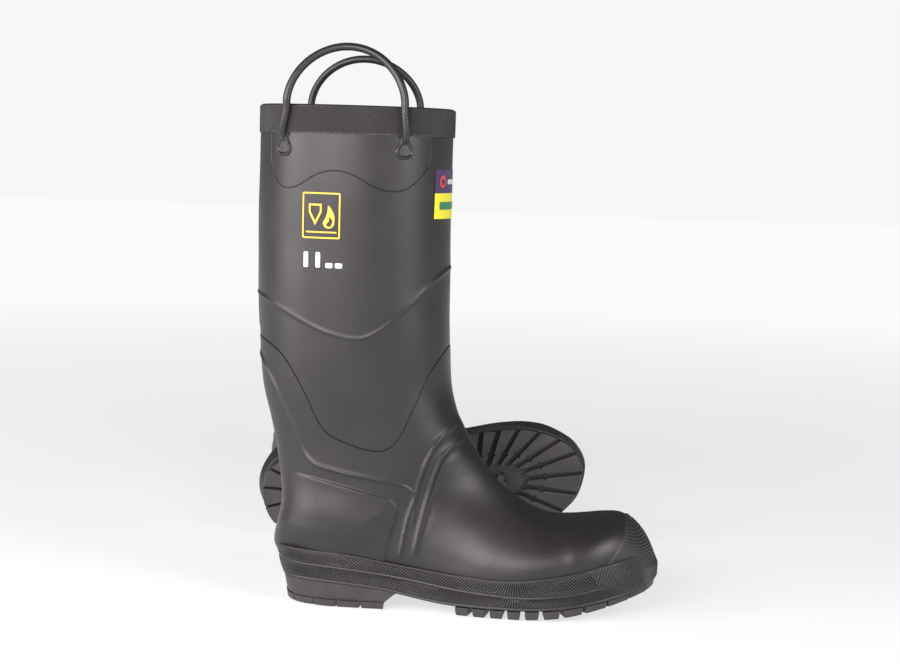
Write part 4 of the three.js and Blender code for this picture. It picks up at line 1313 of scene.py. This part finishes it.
FLOOR_HALF, FLOOR_Z = 9, -0.0006
corners = [(x * FLOOR_HALF, y * FLOOR_HALF, FLOOR_Z) for x, y in ((-1, -1), (1, -1), (1, 1), (-1, 1))]
floor_mesh = bpy.data.meshes.new("floor")
floor_mesh.from_pydata(corners, [], [(0, 1, 2, 3)])
floor_mesh.materials.append(material("floor_paint", floor_paint))
floor = bpy.data.objects.new("floor", floor_mesh)
bpy.context.scene.collection.objects.link(floor)

world = bpy.data.worlds.new("studio")
world.use_nodes = True
sky = world.node_tree
sky.nodes["Background"].inputs[0].default_value = (1, 1, 1, 1)
seen = sky.nodes.new("ShaderNodeLightPath").outputs["Is Camera Ray"]
LIGHT_LEVEL, SEEN_LEVEL = 0.1, 0.93
sky.links.new(spread(sky, seen, LIGHT_LEVEL, SEEN_LEVEL, 0.0, 1.0), sky.nodes["Background"].inputs[1])
bpy.context.scene.world = world
bpy.context.scene.view_settings.view_transform = "Standard"

aim = PLACE["right"][1] + np.array([0.1, 0, 0.2])
LIGHT_COLOUR = (1.0, 0.955, 0.945)
# Each light's place from the aim in metres, size and power.
LIGHTS = {
    "left": ((-1.35, -0.75, 0.3), (0.7, 1.2), 22),
    "right": ((1.15, -0.8, 0.5), (0.5, 1.0), 13),
    "front": ((-0.45, -1.25, 0.45), (0.9, 0.6), 20),
}
for name, (offset, size, power) in LIGHTS.items():
    data = bpy.data.lights.new(name, "AREA")
    data.shape = "RECTANGLE"
    data.size, data.size_y = size
    data.energy = power
    data.color = LIGHT_COLOUR
    obj = bpy.data.objects.new(name, data)
    obj.location = Vector(aim + offset)
    obj.rotation_euler = (Vector(aim) - obj.location).to_track_quat("-Z", "Y").to_euler()
    bpy.context.scene.collection.objects.link(obj)

# The camera fitted to the photograph, in the right boot's frame.
PHOTO_WIDTH, FOCAL_PIXELS, SENSOR_WIDTH = 900, 1799.18, 36
CAMERA_AT = np.array([245.4, -1448.6, 369.0])
YAW, PITCH, ROLL = (math.radians(v) for v in (4.447, 5.793, 1.763))
forward = Vector((-math.sin(YAW) * math.cos(PITCH), math.cos(YAW) * math.cos(PITCH), -math.sin(PITCH)))
level = Vector((math.cos(YAW), math.sin(YAW), 0))
upward = level.cross(forward)
camera_right = level * math.cos(ROLL) + upward * math.sin(ROLL)
camera_up = upward * math.cos(ROLL) - level * math.sin(ROLL)
camera = bpy.data.objects.new("camera", bpy.data.cameras.new("camera"))
camera.data.lens = FOCAL_PIXELS / PHOTO_WIDTH * SENSOR_WIDTH
camera.data.clip_start = 0.05
camera_frame = Matrix((camera_right, camera_up, -forward)).transposed().to_4x4()
camera_frame.translation = Vector(in_row(CAMERA_AT, "right"))
camera.matrix_world = camera_frame
bpy.context.scene.collection.objects.link(camera)
bpy.context.scene.camera = camera
